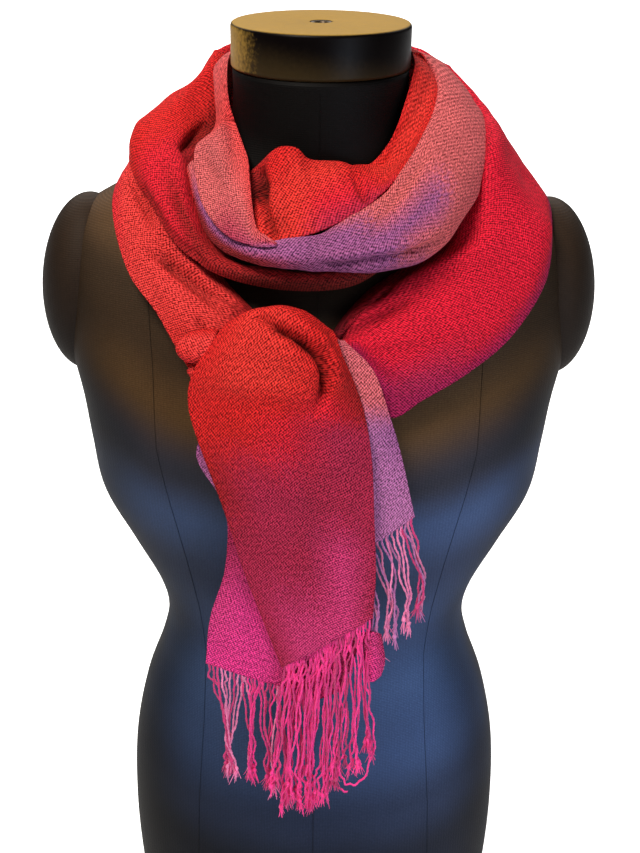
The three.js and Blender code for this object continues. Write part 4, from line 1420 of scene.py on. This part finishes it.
@dataclass
class DressForm:
    """The covered body, its lacquered cap and the ovals over its armholes. Millimetres."""

    neck_top: float = 731.7
    cap_bottom: float = 732.0
    cap_top: float = 760.0
    cap_radius: float = 57.5
    cap_edge: float = 2.5
    cap_hole: float = 7.0
    plate_x: float = 158.0
    plate_z: float = 586.0
    plate_size: Triple = (31.0, 47.0, 62.0)  # out, along and up
    plate_lean: float = 0.07
    cover_rings: int = 184
    cover_sides: int = 168
    plate_rings: int = 61
    plate_sides: int = 96
    plate_sink: float = 0.8  # how far the ovals go into the cover
    seam_thread: float = 0.3  # half the width of a seam's cord
    PAINTED_LIGHT_TONES: ClassVar[tuple] = (
        (0.0, (13, 14, 20)), (0.15, (22, 27, 40)), (0.2, (38, 49, 74)), (0.26, (56, 76, 114)),
        (0.31, (64, 87, 128)), (0.35, (56, 74, 110)), (0.4, (43, 55, 82)), (0.45, (60, 80, 118)),
        (0.49, (42, 43, 54)), (0.535, (81, 58, 33)), (0.57, (60, 44, 29)), (0.6, (60, 45, 31)),
        (0.635, (90, 67, 44)), (0.668, (14, 3, 1)), (0.76, (14, 3, 1)),
    )  # the cover's painted light by height: blue reflections low down, a dark band under the bust, brown highlights on the bust and shoulders, near black at the neck

    def sections(self) -> np.ndarray:
        """Height, half width, reach to the front and back, and how square the oval is."""
        return np.array([
            (0, 132, 84, 92, 2.3), (40, 138, 88, 100, 2.3), (90, 144, 91, 106, 2.3),
            (150, 146, 94, 111, 2.3), (210, 143, 93, 106, 2.25), (260, 133, 87, 94, 2.2),
            (300, 119, 82, 84, 2.15), (330, 113, 80, 80, 2.1), (360, 119, 82, 81, 2.1),
            (400, 138, 89, 86, 2.15), (440, 156, 101, 92, 2.2), (480, 161, 114, 95, 2.25),
            (515, 165, 117, 95, 2.25), (550, 172, 107, 93, 2.25), (580, 175, 97, 90, 2.25),
            (605, 176, 86, 87, 2.2), (625, 171, 74, 80, 2.2), (640, 158, 66, 74, 2.15),
            (652, 139, 62, 69, 2.1), (664, 114, 59, 65, 2.05), (676, 88, 57.5, 61, 2),
            (690, 66, 57, 58, 2), (705, 57.5, 56.8, 57, 2), (self.neck_top, 56.5, 56.5, 56.5, 2),
        ], float)

    def cover(self, finish: Material) -> Object:
        """Make the covered body, closed at its neck and base.

        Args:
            finish: the jersey.

        Returns:
            The piece.
        """
        rows = smooth(self.sections(), self.cover_rings)
        turn = turns(self.cover_sides)
        c, s = np.cos(turn)[None], np.sin(turn)[None]
        z, half, front, back, square = (rows[:, [k]] for k in range(5))
        power = 2 / square
        x = half * np.sign(c) * np.abs(c) ** power
        y = np.where(s < 0, front, back) * np.sign(s) * np.abs(s) ** power
        grid = np.stack([x, y, z * np.ones_like(c)], axis=2)
        faces = tube_faces(len(rows), self.cover_sides, flip=True)
        obj = new_mesh("form_cover", grid * MM, faces, finish)
        for end in obj.data.polygons[-2:]:
            end.use_smooth = False
        return obj

    def reach(self, height: float) -> tuple[float, float, float, float]:
        """Half width, front, back and squareness at a height, in millimetres."""
        table = smooth(self.sections(), self.cover_rings)
        return tuple(float(np.interp(height, table[:, 0], table[:, k])) for k in range(1, 5))

    def on_surface(self, x: float, height: float, front: bool) -> Triple:
        """The cover's point at a place across and a height."""
        half, ahead, behind, square = self.reach(height)
        share = max(0.0, 1 - (abs(x) / half) ** square) ** (1 / square)
        return (x, -ahead * share if front else behind * share, height)

    def seams(self, finish: Material) -> Object:
        """Make the sewn seams of the cover as thin raised cords.

        Args:
            finish: the thread.

        Returns:
            The piece.
        """
        low, steps, back_share = 3, 120, 0.85
        table = np.array([  # height and x
            (low, 84), (60, 86), (148, 89), (198, 87), (268, 82), (320, 80), (362, 84), (438, 94),
            (505, 104), (560, 105), (632, 110),
        ], float)
        heights = np.linspace(low, table[-1, 0], steps)
        places = np.interp(heights, *table.T)
        lines = []
        for width in (-1, -back_share, 1, back_share):
            front = abs(width) == 1
            lines.append([self.on_surface(width * x, z, front) for x, z in zip(places, heights)])
        for front in (True, False):
            lines.append([self.on_surface(0, z, front) for z in np.linspace(low, 725, steps)])
        curve = bpy.data.curves.new("form_seams", "CURVE")
        curve.dimensions = "3D"
        curve.bevel_depth = self.seam_thread * MM
        curve.bevel_resolution = 2
        for line in lines:
            spline = curve.splines.new("POLY")
            spline.points.add(len(line) - 1)
            for point, place in zip(spline.points, line):
                point.co = (*(value * MM for value in place), 1)
        obj = bpy.data.objects.new("form_seams", curve)
        bpy.context.scene.collection.objects.link(obj)
        curve.materials.append(finish)
        return obj

    def cap(self, finish: Material) -> Object:
        """Make the lacquered cap with its socket, turned round its axis.

        Args:
            finish: the lacquer.

        Returns:
            The piece.
        """
        edge, hole, bottom, top = self.cap_edge, self.cap_hole, self.cap_bottom, self.cap_top
        outer = self.cap_radius - edge
        bend = np.linspace(0, math.pi / 2, 7)
        low = [(outer + edge * math.sin(a), bottom + edge * (1 - math.cos(a))) for a in bend]
        high = [(outer + edge * math.cos(a), top - edge * (1 - math.sin(a))) for a in bend]
        lip = [(hole + 0.8, top), (hole + 0.2, top - 0.25), (hole, top - 0.8)]
        profile = [(hole, bottom), *low, *high, (outer - 6, top), *lip]
        return self.turned("form_cap", profile, finish, 160)

    def sleeve(self, finish: Material) -> Object:
        """Make the threaded sleeve in the cap's socket."""
        top = self.cap_top
        profile = [(6.8, top - 14), (6.8, top - 1), (6.5, top - 0.4), (5.3, top - 0.4),
                   (4.9, top - 2), (4.6, top - 14)]
        return self.turned("cap_sleeve", profile, finish, 48)

    @staticmethod
    def turned(name: str, profile: list[tuple], finish: Material, sides: int) -> Object:
        """Turn a closed profile round the neck's axis.

        Args:
            name: the piece's name.
            profile: radius and height pairs, in millimetres.
            finish: the material.
            sides: steps of the turn.

        Returns:
            The piece.
        """
        points = np.array([
            (r * math.cos(a), r * math.sin(a), z) for r, z in profile for a in turns(sides)
        ])
        quads = grid_faces(len(profile) + 1, sides, closed=True)[:, ::-1] % len(points)
        return new_mesh(name, points * MM, quads, finish)

    def plate(self, side: int, finish: Material) -> Object:
        """Make the oval over one armhole, flattened where it lies on the body.

        Args:
            side: -1 for the left, 1 for the right.
            finish: the jersey.

        Returns:
            The piece.
        """
        lat = np.linspace(-math.pi / 2, math.pi / 2, self.plate_rings)
        ball = unit_ball(lat, turns(self.plate_sides)) * self.plate_size
        out, y, up = np.moveaxis(ball, 2, 0)
        lean = -side * self.plate_lean
        x = out * math.cos(lean) + up * math.sin(lean) + side * self.plate_x
        z = up * math.cos(lean) - out * math.sin(lean) + self.plate_z
        table = self.sections()
        half, ahead, behind, square = (np.interp(z, table[:, 0], table[:, k]) for k in range(1, 5))
        depth = np.where(y < 0, ahead, behind)
        body = half * np.maximum(0, 1 - np.minimum(1, np.abs(y) / depth) ** square) ** (1 / square)
        x = side * np.maximum(side * x, body - self.plate_sink)
        points = np.stack([x, y, z], axis=2)[1:-1]
        name = "armhole_plate_left" if side < 0 else "armhole_plate_right"
        return new_mesh(name, points * MM, tube_faces(*points.shape[:2], flip=True), finish)

    def build(self) -> None:
        """Make, dress and tie down every piece of the form."""
        jersey = JerseyFinish("jersey", self.PAINTED_LIGHT_TONES).build()
        # Painted light: the ovals are lighter and browner higher up, with painted shade at their sides.
        plate_light_tones = ((0.5, (28, 20, 16)), (0.66, (52, 38, 26)))
        dark = JerseyFinish("plate_jersey", plate_light_tones, painted_side_shade=0.25).build()
        thread = JerseyFinish("seam_thread", self.PAINTED_LIGHT_TONES, depth=0.55).build()
        made = [
            (self.cover(jersey), Slot.COVER, "form_torso"),
            (self.seams(thread), Slot.COVER),
            (self.cap(LacquerFinish().build()), Slot.CAP, "form_neck_cap"),
            (self.sleeve(SteelFinish().build()), Slot.CAP),
            (self.plate(-1, dark), Slot.COVER, "form_armhole_plate_left"),
            (self.plate(1, dark), Slot.COVER, "form_armhole_plate_right"),
        ]
        for obj, slot, *nodes in made:
            tie(obj, slot, *nodes)
            LOG.info("%s made", obj.name)


# ---- The studio ----


@dataclass(frozen=True)
class Softbox:
    """A soft studio lamp that looks at a point."""

    name: str
    place: Triple
    size: tuple[float, float]
    watts: float
    colour: Triple
    target: Triple = (0.0, 0.0, 0.5)

    def build(self) -> None:
        """Make the lamp."""
        lamp = bpy.data.lights.new(self.name, "AREA")
        lamp.shape = "RECTANGLE"
        lamp.size, lamp.size_y = self.size
        lamp.energy = self.watts
        lamp.color = self.colour
        obj = bpy.data.objects.new(self.name, lamp)
        obj.location = self.place
        aim = Vector(self.target) - Vector(self.place)
        obj.rotation_euler = aim.to_track_quat("-Z", "Y").to_euler()
        bpy.context.scene.collection.objects.link(obj)


@dataclass
class Studio:
    """A pale floor, soft lamps and the camera."""

    camera_place: Triple = (0.002, -0.840, 0.874)
    camera_down: float = 25.3  # degrees below level
    camera_roll: float = 0.62  # degrees
    lens: float = 54.02
    sensor: float = 36.0
    clip: tuple[float, float] = (0.05, 60.0)
    floor_reach: float = 9.0
    floor_tone: float = 0.97
    floor_glow: float = 0.93  # keeps the far floor pale where no lamp reaches it
    room_light: float = 0.06
    white: tuple[float, ...] = (1.0, 1.0, 1.0, 1.0)

    def camera(self) -> None:
        """Make the camera and give it to the scene."""
        data = bpy.data.cameras.new("camera")
        data.lens = self.lens
        data.sensor_width = self.sensor
        data.sensor_fit = "AUTO"
        data.clip_start, data.clip_end = self.clip
        obj = bpy.data.objects.new("camera", data)
        tilt = Euler((math.radians(90 - self.camera_down), 0, 0)).to_matrix().to_4x4()
        roll = Matrix.Rotation(math.radians(self.camera_roll), 4, "Z")
        obj.matrix_world = Matrix.Translation(self.camera_place) @ tilt @ roll
        bpy.context.scene.collection.objects.link(obj)
        bpy.context.scene.camera = obj

    def floor(self) -> None:
        """Make the floor, which isn't part of the object."""
        s = Shader("floor_paint")
        place = s.node("ShaderNodeTexCoord").outputs["Object"]
        tone = (self.floor_tone,) * 3 + (1.0,)
        seen = s.node("ShaderNodeLightPath").outputs["Is Camera Ray"]
        s.set(Base_Color=s.shade(tone, s.line(s.noise(place, 3.0), 0.02, 0.99)), Roughness=0.9,
              Specular_IOR_Level=0.1, Emission_Color=self.white,
              Emission_Strength=s.times(seen, self.floor_glow))
        signs = np.array([(-1, -1, 0), (1, -1, 0), (1, 1, 0), (-1, 1, 0)], float)
        new_mesh("studio_floor", signs * self.floor_reach, [[0, 1, 2, 3]], s.material)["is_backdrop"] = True

    def lamps(self) -> None:
        """Make the lamps and the room's own dim light."""
        softboxes = [
            Softbox("key", (-0.6, -0.85, 2.1), (0.6, 0.6), 33.5, (1.0, 0.93, 0.84)),
            Softbox("fill", (1.2, -1.3, 1.2), (0.9, 0.9), 3.5, (1.0, 0.95, 0.92)),
            Softbox("low", (0.95, -1.45, 0.42), (0.7, 0.5), 8, (0.7, 0.82, 1.0), (0, 0, 0.25)),
            Softbox("back", (0.0, 1.6, 1.9), (1.8, 0.9), 4.5, (1.0, 0.86, 0.66), (0, 0, 0.65)),
            Softbox("backdrop", (0.0, 4.2, 3.0), (7.0, 6.0), 260, (1.0, 1.0, 1.0), (0, 4.4, 0)),
        ]
        for softbox in softboxes:
            softbox.build()
        world = bpy.data.worlds.new("room")
        world.use_nodes = True
        tree = world.node_tree
        room = tree.nodes["Background"]
        room.inputs["Color"].default_value = self.white
        room.inputs["Strength"].default_value = self.room_light
        wall = tree.nodes.new("ShaderNodeBackground")
        wall.inputs["Color"].default_value = self.white
        seen = tree.nodes.new("ShaderNodeLightPath")
        blend = tree.nodes.new("ShaderNodeMixShader")
        tree.links.new(seen.outputs["Is Camera Ray"], blend.inputs["Fac"])
        tree.links.new(room.outputs[0], blend.inputs[1])
        tree.links.new(wall.outputs[0], blend.inputs[2])
        tree.links.new(blend.outputs[0], tree.nodes["World Output"].inputs["Surface"])
        bpy.context.scene.world = world

    def build(self) -> None:
        """Make the studio."""
        self.camera()
        self.floor()
        self.lamps()
        bpy.context.scene.view_settings.view_transform = "Standard"
        LOG.info("studio made")


# ---- Assembly ----


def finishes() -> dict[Slot, Material]:
    """The twills, by the slot that they finish."""
    twills = {
        Slot.RED: TwillFinish("twill_red", (240, 84, 62)),
        Slot.CRIMSON: TwillFinish("twill_crimson", (232, 58, 84)),
        Slot.CORAL: TwillFinish("twill_coral", (234, 146, 146)),
        Slot.LILAC: TwillFinish("twill_lilac", (224, 158, 196)),
        Slot.MAGENTA: TwillFinish("twill_magenta", (230, 96, 158)),
    }
    return {slot: twill.build() for slot, twill in twills.items()}


def corners() -> list[list[float]]:
    """The shown object's lowest and highest corner as plain lists."""
    return [list(corner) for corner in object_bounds()]


def main() -> None:
    """Build the studio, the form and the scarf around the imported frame."""
    logging.basicConfig(level=logging.INFO, format="%(name)s: %(message)s")
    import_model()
    Studio().build()
    DressForm().build()
    twills = finishes()
    yarn = YarnFinish().build()
    hems = fringes()
    made = [(stretch, stretch.build(twills[stretch.slot])) for stretch in Scarf().stretches()]
    for stretch, obj in made:
        going_with = []
        if stretch.name in hems:
            hem = hems[stretch.name]
            strands = hem.build(yarn)
            tie(strands, Slot.FRINGE, hem.node)
            going_with.append(strands)
            LOG.info("%s made", strands.name)
        stretch.declare(obj, going_with)


if __name__ == "__main__":
    main()
